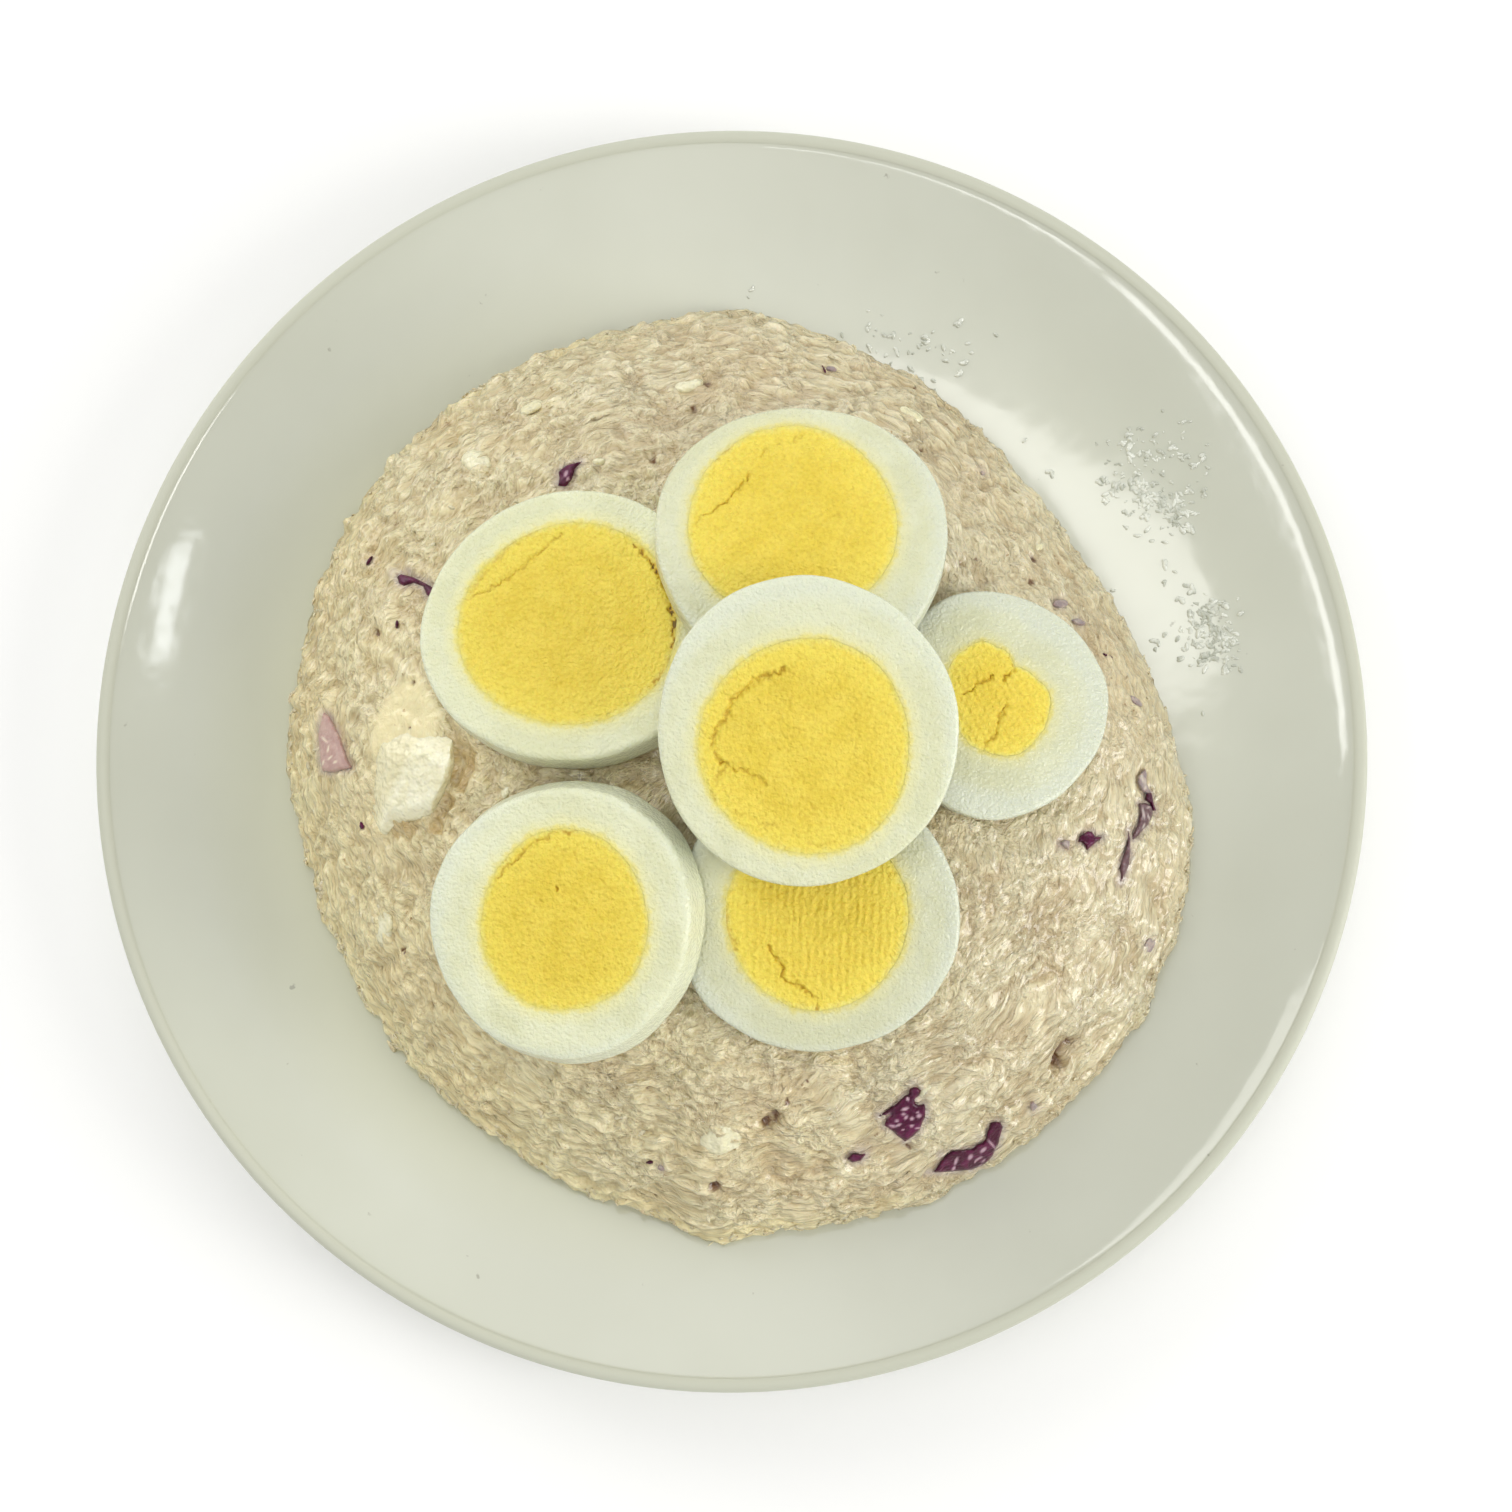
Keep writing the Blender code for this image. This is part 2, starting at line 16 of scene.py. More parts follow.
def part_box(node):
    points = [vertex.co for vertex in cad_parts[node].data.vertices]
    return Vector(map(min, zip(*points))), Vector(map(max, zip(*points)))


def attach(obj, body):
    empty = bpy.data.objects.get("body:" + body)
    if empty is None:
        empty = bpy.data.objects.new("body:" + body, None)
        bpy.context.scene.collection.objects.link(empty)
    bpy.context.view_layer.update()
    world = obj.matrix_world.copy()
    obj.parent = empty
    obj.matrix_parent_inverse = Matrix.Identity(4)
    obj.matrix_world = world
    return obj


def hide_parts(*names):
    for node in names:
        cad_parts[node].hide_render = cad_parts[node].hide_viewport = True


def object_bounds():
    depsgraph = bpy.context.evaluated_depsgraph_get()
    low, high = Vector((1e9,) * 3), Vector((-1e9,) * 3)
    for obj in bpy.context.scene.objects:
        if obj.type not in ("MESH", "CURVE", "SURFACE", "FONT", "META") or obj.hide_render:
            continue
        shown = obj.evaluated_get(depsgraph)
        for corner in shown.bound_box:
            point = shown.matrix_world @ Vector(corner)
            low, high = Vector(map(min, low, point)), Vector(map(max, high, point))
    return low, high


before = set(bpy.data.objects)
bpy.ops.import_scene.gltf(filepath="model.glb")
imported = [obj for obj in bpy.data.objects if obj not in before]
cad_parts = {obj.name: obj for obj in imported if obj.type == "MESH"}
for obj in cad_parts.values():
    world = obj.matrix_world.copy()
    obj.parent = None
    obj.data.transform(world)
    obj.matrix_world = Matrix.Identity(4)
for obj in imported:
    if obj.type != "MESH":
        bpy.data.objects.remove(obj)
cad_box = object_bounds()
MM = 0.001
print("solids:", len(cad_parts), "box in mm:", [round(c / MM, 1) for c in (*cad_box[0], *cad_box[1])])

# %% [markdown]
# ## Tools for working on a mesh
# Blender's operators act on whatever is selected, and the loaded solids are selected at the start,
# so nothing else is selected when a piece is added or changed. Points are read into an array, moved
# with plain arithmetic and written back, which is quick even for a hundred thousand of them.

# %% Selecting, reading and writing
def select_only(piece):
    bpy.ops.object.select_all(action="DESELECT")
    piece.select_set(True)
    bpy.context.view_layer.objects.active = piece


def rename(name):
    piece = bpy.context.object
    piece.name = piece.data.name = name
    return piece


def read(elements, field, width, kind=np.float32):
    """An array with a row for each point or edge of a mesh."""
    flat = np.empty(len(elements) * width, kind)
    elements.foreach_get(field, flat)
    return flat.reshape(-1, width)


def points_of(piece):
    return read(piece.data.vertices, "co", 3).astype(float) / MM


def move_points(piece, points):
    piece.data.vertices.foreach_set("co", (points * MM).astype(np.float32).ravel())
    piece.data.update()


def paint(piece, name, values):
    """Keeps a number or a vector for each point of a piece, for its material to read."""
    values = np.asarray(values, np.float32)
    kind, field = ("FLOAT", "value") if values.ndim == 1 else ("FLOAT_VECTOR", "vector")
    piece.data.attributes.new(name, kind, "POINT").data.foreach_set(field, values.ravel())


def triangles(piece):
    return sum(len(face.vertices) - 2 for face in piece.data.polygons)


print("triangles of the solid heap:", triangles(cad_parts["salad"]))

# %% [markdown]
# ## Tools for materials
# Each material is a Principled shader fed by procedural textures. They read Object coordinates,
# so a pattern has its real size and stays with the piece, or a number painted on the mesh.

# %% Making a material
def put(tree, value, socket):
    """Feeds a socket with the output of a node, or else with a colour or number."""
    if isinstance(value, bpy.types.NodeSocket):
        tree.links.new(value, socket)
    else:
        socket.default_value = (*value, 1.0) if socket.type == "RGBA" else value


def add(tree, kind, **values):
    """Adds a node. A value whose name is a socket's goes into that socket, any other is an option."""
    node = tree.nodes.new("ShaderNode" + kind)
    for name, value in values.items():
        socket = node.inputs.get(name.replace("_", " "))
        if socket is not None and not hasattr(node, name):
            put(tree, value, socket)
        else:
            setattr(node, name, value)
    return node


def shade(material, **values):
    """Feeds the sockets of a material's shader."""
    tree = material.node_tree
    for name, value in values.items():
        put(tree, value, tree.nodes["Principled BSDF"].inputs[name.replace("_", " ")])
    return material


def new_material(name, **values):
    """A new material with constants for its shader, and the tree of its nodes."""
    material = bpy.data.materials.new(name)
    material.use_nodes = True
    return shade(material, **values), material.node_tree


# %% Combining colours and numbers
def blend(tree, mask, low, high, kind="MIX"):
    """Mixes two colours, or outputs of nodes, by a mask."""
    mix = add(tree, "Mix", data_type="RGBA", blend_type=kind)
    for value, socket in zip((mask, low, high), (mix.inputs["Factor"], mix.inputs[6], mix.inputs[7])):
        put(tree, value, socket)
    return mix.outputs[2]


def calculate(tree, operation, *values, kind="Math"):
    """The result of a sum, product or the like of numbers and outputs of nodes."""
    node = add(tree, kind, operation=operation)
    for value, socket in zip(values, node.inputs):
        put(tree, value, socket)
    return node.outputs[0]


def painted(tree, name):
    return add(tree, "Attribute", attribute_name=name).outputs["Fac"]


def window(tree, value, start, end):
    """0 up to start, 1 from end on, and a smooth rise between them."""
    return add(tree, "MapRange", interpolation_type="SMOOTHSTEP", Value=value, From_Min=start,
               From_Max=end).outputs["Result"]


# %% [markdown]
# ## Two shared effects
# Mottling, the slow change of colour over any natural surface, and grain, its finest roughness,
# are used by nearly every material here, so each is a node group with its own inputs.

# %% The mottling and grain groups
def new_group(name, output, **inputs):
    """An empty group: its tree, its inputs, and the socket for its result."""
    group = bpy.data.node_groups.new(name, "ShaderNodeTree")
    for label, value in inputs.items():
        socket = group.interface.new_socket(label, in_out="INPUT", socket_type="NodeSocketFloat")
        socket.default_value = value
    group.interface.new_socket(output, in_out="OUTPUT", socket_type="NodeSocketFloat")
    start, end = group.nodes.new("NodeGroupInput"), group.nodes.new("NodeGroupOutput")
    return group, start.outputs, end.inputs[0]


def noise_texture(tree, place, scale, detail, **more):
    return add(tree, "TexNoise", Vector=place, Scale=scale, Detail=detail, **more).outputs["Fac"]


def make_mottling():
    group, inputs, result = new_group("mottling", "Mask", Scale=100.0, Low=0.35, High=0.65)
    place = add(group, "TexCoord").outputs["Object"]
    clouds = noise_texture(group, place, inputs["Scale"], 3.0)
    put(group, window(group, clouds, inputs["Low"], inputs["High"]), result)
    return group


def times(tree, first, second):
    return calculate(tree, "MULTIPLY", first, second)


def make_grain():
    group, inputs, result = new_group("grain", "Height", Scale=1000.0, Fineness=2.0)
    place = add(group, "TexCoord").outputs["Object"]
    finer = times(group, inputs["Scale"], inputs["Fineness"])
    coarse, fine = noise_texture(group, place, inputs["Scale"], 2.0), noise_texture(group, place, finer, 1.0)
    put(group, calculate(group, "ADD", coarse, fine), result)
    return group


MOTTLING, GRAIN = make_mottling(), make_grain()


def mottled(tree, scale, low=0.35, high=0.65):
    return add(tree, "Group", node_tree=MOTTLING, Scale=scale, Low=low, High=high).outputs["Mask"]


def bumped(tree, height, distance):
    """A normal bent by a height, whose full range is a distance in millimetres."""
    return add(tree, "Bump", Height=height, Distance=distance * MM).outputs["Normal"]


def grainy(tree, scale, fineness, distance):
    """A normal with fine grain: features of 1 / scale metres, some tenths of a millimetre deep."""
    grain = add(tree, "Group", node_tree=GRAIN, Scale=scale, Fineness=fineness)
    return bumped(tree, grain.outputs["Height"], distance)


print("node groups:", [group.name for group in bpy.data.node_groups])

# %% [markdown]
# ## Camera
# The dish is seen from almost straight above, tipped a little towards the front. A 50 mm lens at
# 35 cm gives the mild perspective of a picture taken by hand.

# %% Camera
def look_at(thing, target, up=(0.0, 1.0, 0.0)):
    """Turns a camera or lamp towards a target, with +Y or another direction up in its view."""
    back = (thing.location - Vector(target)).normalized()
    right = Vector(up).cross(back).normalized()
    thing.rotation_euler = Matrix((right, back.cross(right), back)).transposed().to_euler()


bpy.ops.object.camera_add(location=(0.01120, -0.04353, 0.34876))
camera = bpy.context.object
camera.data.lens, camera.data.sensor_width = 50.0, 36.0
camera.data.clip_start = 0.01
look_at(camera, (0.004481, -0.002888, 0.017))
bpy.context.scene.camera = camera
print("camera height in mm:", round(camera.location.z / MM))

# %% [markdown]
# ## Floor and light
# A plain pale floor, and soft light from all round that is strongest from the upper left. What the
# glaze reflects matters as much: a panel overhead makes the bright patch to the right of the heap,
# a long strip the broad shine under the lip, and a small lamp the streak on the left wall. The
# room itself has no edges, so that nothing else draws a line on the plate.

# %% Floor
bpy.ops.mesh.primitive_plane_add(size=4.0, location=(0, 0, 0))
floor = rename("floor")
floor.data.materials.append(
    new_material("pale_floor", Roughness=0.9, Base_Color=(0.97, 0.97, 0.97), Specular_IOR_Level=0.0)[0])

# %% Lights
def softbox(name, place, width, height, power, colour=(1.0, 1.0, 1.0), up=(0.0, 1.0, 0.0)):
    bpy.ops.object.light_add(type="AREA", location=place)
    lamp = bpy.context.object
    lamp.name = name
    lamp.data.shape = "RECTANGLE"
    lamp.data.size, lamp.data.size_y = width, height
    lamp.data.energy = power
    lamp.data.color = colour
    look_at(lamp, (0.0, 0.0, 0.03), up)


WARM = (1.0, 0.99, 0.955)
# name, place, width and height in metres, and power in watts
softbox("overhead", (-0.225, 0.058, 1.10), 0.32, 0.13, 0.46, WARM, up=(-0.22, 1.0, 0.0))
softbox("window", (-0.80, 0.67, 0.52), 0.9, 0.5, 4.1, WARM)
softbox("right_fill", (0.98, -0.24, 0.45), 0.8, 0.4, 6.6, WARM)
softbox("strip", (-0.652, -0.13, 0.98), 0.07, 0.66, 0.95, up=(-0.43, 0.90, 0.0))
softbox("strip_end", (-0.31, -0.60, 0.98), 0.035, 0.50, 0.36, up=(-0.847, 0.532, 0.0))
softbox("lamp", (0.55, 0.0, 1.05), 0.05, 0.13, 0.16, (0.93, 0.96, 1.0))


def make_room():
    """A room that is brighter in a wide band from the front over the ceiling to the back, and again
    low down in front, where the left wall of the plate mirrors it."""
    room = bpy.data.worlds.new("room")
    room.use_nodes = True
    tree = room.node_tree
    towards = add(tree, "SeparateXYZ", Vector=add(tree, "TexCoord").outputs["Generated"]).outputs
    aside = calculate(tree, "ABSOLUTE", towards["X"])
    tipped = calculate(tree, "MULTIPLY_ADD", towards["Y"], -0.10, aside)
    ceiling = calculate(tree, "MULTIPLY_ADD", window(tree, tipped, 0.46, 0.02), 1.33, 0.25)
    front, low = window(tree, towards["Y"], 0.06, -0.34), window(tree, towards["Z"], 0.92, 0.82)
    background = tree.nodes["Background"].inputs
    light = calculate(tree, "MULTIPLY_ADD", times(tree, front, low), 0.10, ceiling)
    put(tree, light, background["Strength"])
    put(tree, (1.0, 1.0, 0.98), background["Color"])
    return room


bpy.context.scene.world = make_room()
bpy.context.scene.view_settings.view_transform = "Standard"

# %% [markdown]
# ## The plate
# The real plate is a coupe: a flat floor, a wall that curves up all the way, and a narrow rounded
# lip. It is thrown round, so the natural way to make it is to draw half of its section and spin
# that round the middle. The wall's curve follows one formula, so the floor meets it without a
# crease, and the lip gets more points than the rest because the light picks it out.

# %% Section of the plate
PLATE_RADIUS, FLOOR_RADIUS, FLOOR_TOP, FLOOR_BOTTOM = 101.5, 55.0, 5.0, 1.3
WALL_CURVE, WALL_THICKNESS, CREASE_RADIUS, LIP_TOP = 0.006, 3.8, 99.1, 17.2
FOOT_OUTER, FOOT_INNER, LIP_ROUND = 60.0, 55.5, 1.28
WALL_POINTS, LIP_POINTS, UNDERSIDE_POINTS = 26, 16, 16
FILLET = ((-0.25, -0.10), (-0.05, 0.03), (0.1, 0.16), (0.22, 0.29))     # where wall turns into lip


def plate_top(radius):
    return FLOOR_TOP + WALL_CURVE * np.maximum(radius - FLOOR_RADIUS, 0.0) ** 2


def plate_section():
    section = [(radius, FLOOR_TOP) for radius in (0.0, 20.0, 40.0)]
    inside = np.linspace(FLOOR_RADIUS, CREASE_RADIUS - 0.5, WALL_POINTS)
    section += [(r, float(plate_top(r))) for r in inside]
    wall = float(plate_top(CREASE_RADIUS))
    section += [(CREASE_RADIUS + out, wall + up) for out, up in FILLET]
    turn = np.radians(np.linspace(135, 0, LIP_POINTS))
    section += [(PLATE_RADIUS - LIP_ROUND * (1 - math.cos(t)), LIP_TOP - 1.0 + math.sin(t)) for t in turn]
    section += [(PLATE_RADIUS - 0.4, LIP_TOP - 1.9)]
    outside = np.linspace(CREASE_RADIUS - 2.0, FOOT_OUTER + 2.0, UNDERSIDE_POINTS)
    section += [(r, float(plate_top(r)) - WALL_THICKNESS) for r in outside]
    section += [
        (FOOT_OUTER + 0.3, 0.9), (FOOT_OUTER, 0.3), (FOOT_OUTER - 0.5, 0.0), (FOOT_INNER + 0.5, 0.0),
        (FOOT_INNER, 0.4), (FOOT_INNER - 1.0, FLOOR_BOTTOM), (0.0, FLOOR_BOTTOM),
    ]
    return section


print("points of the plate's section:", len(plate_section()))

# %% Spin the plate
WITHIN = 0.99999     # a micron less, so that rounding leaves the rim inside the solid's box
SPIN_STEPS = 240


def point_outwards(piece):
    """Turns the front of every face of a closed piece outwards."""
    select_only(piece)
    bpy.ops.object.mode_set(mode="EDIT")
    bpy.ops.mesh.select_all(action="SELECT")
    bpy.ops.mesh.normals_make_consistent(inside=False)
    bpy.ops.object.mode_set(mode="OBJECT")


def make_plate():
    section = plate_section()
    bpy.ops.object.select_all(action="DESELECT")
    bpy.ops.mesh.primitive_circle_add(vertices=len(section), radius=0.05)
    plate = rename("plate_glazed")
    bpy.ops.object.mode_set(mode="EDIT")
    bpy.ops.mesh.select_all(action="DESELECT")
    bpy.ops.object.mode_set(mode="OBJECT")
    # the circle's points become the section, and the edge that closes it on the axis is dropped
    move_points(plate, np.array([(radius * WITHIN, 0.0, height) for radius, height in section]))
    last = len(section) - 1
    for edge in plate.data.edges:
        edge.select = {0, last} == set(edge.vertices)
    bpy.ops.object.mode_set(mode="EDIT")
    bpy.ops.mesh.select_mode(type="EDGE")
    bpy.ops.mesh.delete(type="EDGE_FACE")
    bpy.ops.mesh.select_mode(type="VERT")
    bpy.ops.mesh.select_all(action="SELECT")
    bpy.ops.mesh.spin(steps=SPIN_STEPS, angle=math.tau, center=(0, 0, 0), axis=(0, 0, 1))
    bpy.ops.mesh.select_all(action="SELECT")
    bpy.ops.mesh.remove_doubles(threshold=0.01 * MM)
    bpy.ops.object.mode_set(mode="OBJECT")
    point_outwards(plate)
    return plate


plate = make_plate()
print("plate:", triangles(plate), "triangles, radius", round(plate.dimensions.x / 2 / MM, 1))

# %% [markdown]
# ### Glaze
# Off-white glaze on fired clay: clear and glossy, a touch green, with slow changes of tone, a few
# pinholes and the faint waviness of a dipped coat, which bends the reflections a little.

# %% Glaze
# reach and side of the painted reflection and shade of the heap on the glaze
REFLECTION_REACH, REFLECTION_SIDE = 88.0, 188.0     # radius in mm, and direction in degrees


def polar(plan, middle=(0.0, 0.0)):
    """How far plan points are from a middle, and in which direction."""
    away = plan - middle
    return np.hypot(*away.T), np.arctan2(away[:, 1], away[:, 0])


def paint_plate():
    """The lip, where the glaze is thin and dull, and a painted reflection of the heap with painted shade,
    which make the glaze darker and yellower near the heap on the left.
    """
    radius, turn = polar(points_of(plate)[:, :2])
    paint(plate, "lip", np.clip((radius - CREASE_RADIUS) / 0.4, 0.0, 1.0))
    near = np.clip((REFLECTION_REACH - radius) / 16.0, 0.0, 1.0)
    paint(plate, "heap_reflection_and_shade", near * np.clip(0.25 + np.cos(turn - math.radians(REFLECTION_SIDE)), 0.0, 1.0))


def make_glaze():
    material, tree = new_material("off_white_glaze", Coat_Roughness=0.05)
    body = blend(tree, mottled(tree, 22.0), (0.590, 0.605, 0.515), (0.620, 0.637, 0.550))
    # painted reflection and shade: darker, yellower glaze near the heap on the left
    body = blend(tree, painted(tree, "heap_reflection_and_shade"), body, (0.575, 0.585, 0.44))
    lip = painted(tree, "lip")
    body = blend(tree, lip, body, (0.55, 0.56, 0.46))
    pinholes = mottled(tree, 420.0, 0.74, 0.80)
    rough = add(tree, "MapRange", Value=lip, To_Min=0.10, To_Max=0.5).outputs["Result"]
    coat = add(tree, "MapRange", Value=lip, To_Min=0.6, To_Max=0.0).outputs["Result"]
    return shade(material, Base_Color=blend(tree, pinholes, body, (0.40, 0.40, 0.33)), Roughness=rough,
                 Coat_Weight=coat, Normal=grainy(tree, scale=60.0, fineness=4.0, distance=0.05))


def dress(piece, material, slot, *nodes, angle=None):
    """Shades a piece, gives it its finish, lets it ride on the dish and stand for its solids."""
    select_only(piece)
    bpy.ops.object.shade_smooth()
    if angle is not None:
        bpy.ops.object.shade_smooth_by_angle(angle=math.radians(angle))
    piece.data.materials.clear()
    piece.data.materials.append(material)
    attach(piece, "root")
    if nodes:
        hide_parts(*nodes)
    print(piece.name, "has", triangles(piece), "triangles")


paint_plate()
dress(plate, make_glaze(), "plate_glaze", "plate", angle=50)

# %% [markdown]
# ## Reading the heap's form from its solid
# The heap of salad must stay where its solid is. The solid's triangles are kept as a search tree:
# a ray from above then gives the height of the heap at any place. The egg slices get a tree as
# well, to know what they cover.

# %% Search trees of the solids
def tree_of(*nodes):
    points, faces = [], []
    for node in nodes:
        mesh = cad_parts[node].data
        start = len(points)
        points += [vert.co / MM for vert in mesh.vertices]
        faces += [[start + i for i in face.vertices] for face in mesh.polygons]
    return BVHTree.FromPolygons(points, faces)


EGG_NODES = [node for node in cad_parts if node.startswith(("egg_white", "egg_yolk"))]
SUNK_NODES = [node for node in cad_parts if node.startswith("onion") or node == "egg_chunk"]
heap_tree, egg_tree = tree_of("salad"), tree_of(*EGG_NODES)
DOWN, UP = Vector((0, 0, -1)), Vector((0, 0, 1))
HEAP = np.array((1.1, -4.2))     # the heap's middle in plan
RIM_STEPS = 162     # points round the edge of the heap's solid
SKY = 100.0     # the height that rays are cast down from


def heap_outline():
    """Angles round the heap's middle, and how far the solid's edge is in each, with its height."""
    points = points_of(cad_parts["salad"])
    radius, angle = polar(points[:, :2], HEAP)
    step = angle / math.tau * RIM_STEPS
    edge = {}
    for i in np.nonzero(np.abs(step - np.round(step)) < 0.01)[0]:
        key = int(np.round(step[i])) % RIM_STEPS
        if key not in edge or radius[i] > radius[edge[key]]:
            edge[key] = i
    keys = sorted(edge)
    ring = [edge[key] for key in keys]
    return np.array(keys) * math.tau / RIM_STEPS, radius[ring], points[ring, 2]


OUTLINE = heap_outline()
print("outline from", len(OUTLINE[0]), "points, reach to", OUTLINE[1].max().round(1))

# %% [markdown]
# ## An even net of points
# Spokes and rings crowd points in the middle. A hexagon cut into small triangles has them evenly
# spread, so a hexagon is added, subdivided, and its rings are rounded into circles later. Its rim
# is extruded while it is still flat, which gives the rings of points for the sides of a piece.

# %% A hexagon whose rings can be rounded
SIXTH, TINY = math.tau / 6, 1e-9


def make_net(name, cuts, skirts):
    """A net of triangles with a skirt of extruded rings, closed below.

    Returns it with each point's share of the way out, its angle, and the ring of the skirt it is
    in, which is 0 on the net itself.
    """
    bpy.ops.object.select_all(action="DESELECT")
    bpy.ops.mesh.primitive_circle_add(vertices=6, radius=1.0, fill_type="TRIFAN")
    net = rename(name)
    bpy.ops.object.mode_set(mode="EDIT")
    bpy.ops.mesh.select_mode(type="EDGE")
    bpy.ops.mesh.select_all(action="SELECT")
    for cut in cuts:
        bpy.ops.mesh.subdivide(number_cuts=cut)
    rings = math.prod(cut + 1 for cut in cuts)
    bpy.ops.mesh.select_all(action="DESELECT")
    bpy.ops.mesh.select_non_manifold()
    for _ in range(skirts):
        bpy.ops.mesh.extrude_edges_move()
    bpy.ops.mesh.edge_face_add()
    bpy.ops.object.mode_set(mode="OBJECT")
    flat = points_of(net)[:, :2] * MM
    # the hexagon has corners at 30 degrees and every 60 on: each point is a sum of two of them
    sector = np.floor((np.arctan2(flat[:, 1], flat[:, 0]) - SIXTH / 2) / SIXTH)
    low = (sector + 0.5) * SIXTH
    high = low + SIXTH
    first = (flat[:, 0] * np.sin(high) - flat[:, 1] * np.cos(high)) / math.sin(SIXTH)
    second = (flat[:, 1] * np.cos(low) - flat[:, 0] * np.sin(low)) / math.sin(SIXTH)
    share = np.clip(first + second, 0.0, 1.0)
    turn = low + SIXTH * second / np.maximum(share, TINY)
    top = 1 + 3 * rings * (rings + 1)
    ring = np.zeros(len(flat), int)
    ring[top:] = 1 + np.arange(len(flat) - top) // (6 * rings)
    return net, share, turn, ring


def edges_of(piece):
    return read(piece.data.edges, "vertices", 2, np.int32)


def relaxed(values, edges, rounds, free=True):
    """Evens out a number held by each point, only where the points are free to change."""
    first, second = edges.T
    size = len(values)
    count = np.bincount(first, minlength=size) + np.bincount(second, minlength=size)
    for _ in range(rounds):
        total = np.bincount(first, values[second], size) + np.bincount(second, values[first], size)
        values = np.where(free, total / count, values)
    return values


print("evened out:", relaxed(np.array([0.0, 3.0, 0.0]), np.array([[0, 1], [1, 2]]), 1))

# %% [markdown]
# ## Noise, the sculptor's texture
# Food is never smooth or regular. Soft noise gives lumps, and folded noise, which turns its
# negative half over, gives rounded ridges with sharp valleys between them, like wet crumpled flakes.

# %% Soft and folded noise
def soft(points, size, seed=0.0):
    """Noise of about -1 to 1 at each point, with lumps of a size in millimetres."""
    return np.array([noise.noise(p) for p in (points / size + seed).tolist()])


def layered(points, *layers):
    """Noise added up from layers, each with its height, size and seed."""
    return sum(tall * soft(points, size, seed) for tall, size, seed in layers)


def billows(points, size, seed=0.0):
    """Noise of about -1 to 1 with rounded ridges and sharp valleys."""
    return 3.4 * np.abs(soft(points, size, seed)) - 0.9


print("noise at one place:", soft(np.array([[1.0, 2.0, 3.0]]), 5.0).round(3))

# %% [markdown]
# ## The heap of tuna salad
# Tuna flaked to a wet paste: its fibres lie along the strokes of the spoon that shaped it, round
# the heap, as short wavy ridges about a millimetre apart. The net is laid over the solid, relaxed
# where onions have their pockets, and then raised and lowered by layers of noise. The ridge noise
# is read in coordinates that run round the heap, so that it stretches along the strokes.

# %% Lay the net over the solid
NET_CUTS, SKIRTS, FOOT_GAP, FOOT_TUCK = (16, 9), 3, 0.3, 1.1
NEARBY = ((0.0, 0.0), (0.8, 0.0), (-0.8, 0.0), (0.0, 0.8), (0.0, -0.8))     # a place and four round it


def in_pocket(points):
    """Which points lie over an onion's or the chunk's pocket, or less than a millimetre from it."""
    tree = tree_of(*SUNK_NODES)
    over = np.zeros(len(points), bool)
    for node in SUNK_NODES:
        low, high = (np.array(corner[:2]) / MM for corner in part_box(node))
        close = np.all((points[:, :2] > low - 1) & (points[:, :2] < high + 1), axis=1)
        for i in np.nonzero(close)[0]:
            x, y = points[i, :2]
            over[i] = any(tree.ray_cast(Vector((x + dx, y + dy, SKY)), DOWN)[0] for dx, dy in NEARBY)
    return over


def circle(angle):
    return np.column_stack((np.cos(angle), np.sin(angle)))


def flat3(plan):
    """Plan points with a height of zero."""
    return np.column_stack((plan, np.zeros(len(plan))))


def lay_net():
    paste, share, turn, ring = make_net("salad_paste", NET_CUTS, SKIRTS)
    angles, reaches, heights = OUTLINE
    reach = np.interp(turn, angles, reaches, period=math.tau)
    edge = np.interp(turn, angles, heights, period=math.tau)
    around = flat3(70 * circle(turn))
    reach += layered(around, (0.5, 2.8, 0.0), (0.35, 1.1, 4.0))
    out = np.choose(ring, (share + 0.14 * np.sin(math.pi * share), 1.0, 0.83, 0.66)) * reach
    out -= np.where(ring == 1, FOOT_TUCK, 0.0)
    plan = HEAP + out[:, None] * circle(turn)
    on_plate = plate_top(polar(plan)[0]) + FOOT_GAP
    z = on_plate.copy()
    for i in np.nonzero(ring == 0)[0]:
        hit = heap_tree.ray_cast(Vector((*plan[i], SKY)), DOWN)[0] if share[i] < 0.998 else None
        z[i] = hit.z if hit else edge[i]
    points, edges = np.column_stack((plan, z)), edges_of(paste)
    points[:, 2] = relaxed(z, edges, rounds=400, free=in_pocket(points) & (ring == 0))
    points[:, 2] = relaxed(points[:, 2], edges, rounds=14, free=(ring == 0) & (share < 0.99))
    move_points(paste, points)
    return paste, share, ring, on_plate


paste, paste_share, paste_ring, paste_floor = lay_net()
print("net of the heap:", triangles(paste), "triangles")

# %% [markdown]
# ### What lies in the heap
# Bits of red onion and boiled egg lie in the paste, flush with it. Their outlines come before the
# relief, because the paste is calm and a little lower where they lie. The sizes are millimetres in
# plan, and the two large front pieces were cut from the skin of the onion, so they have corners.

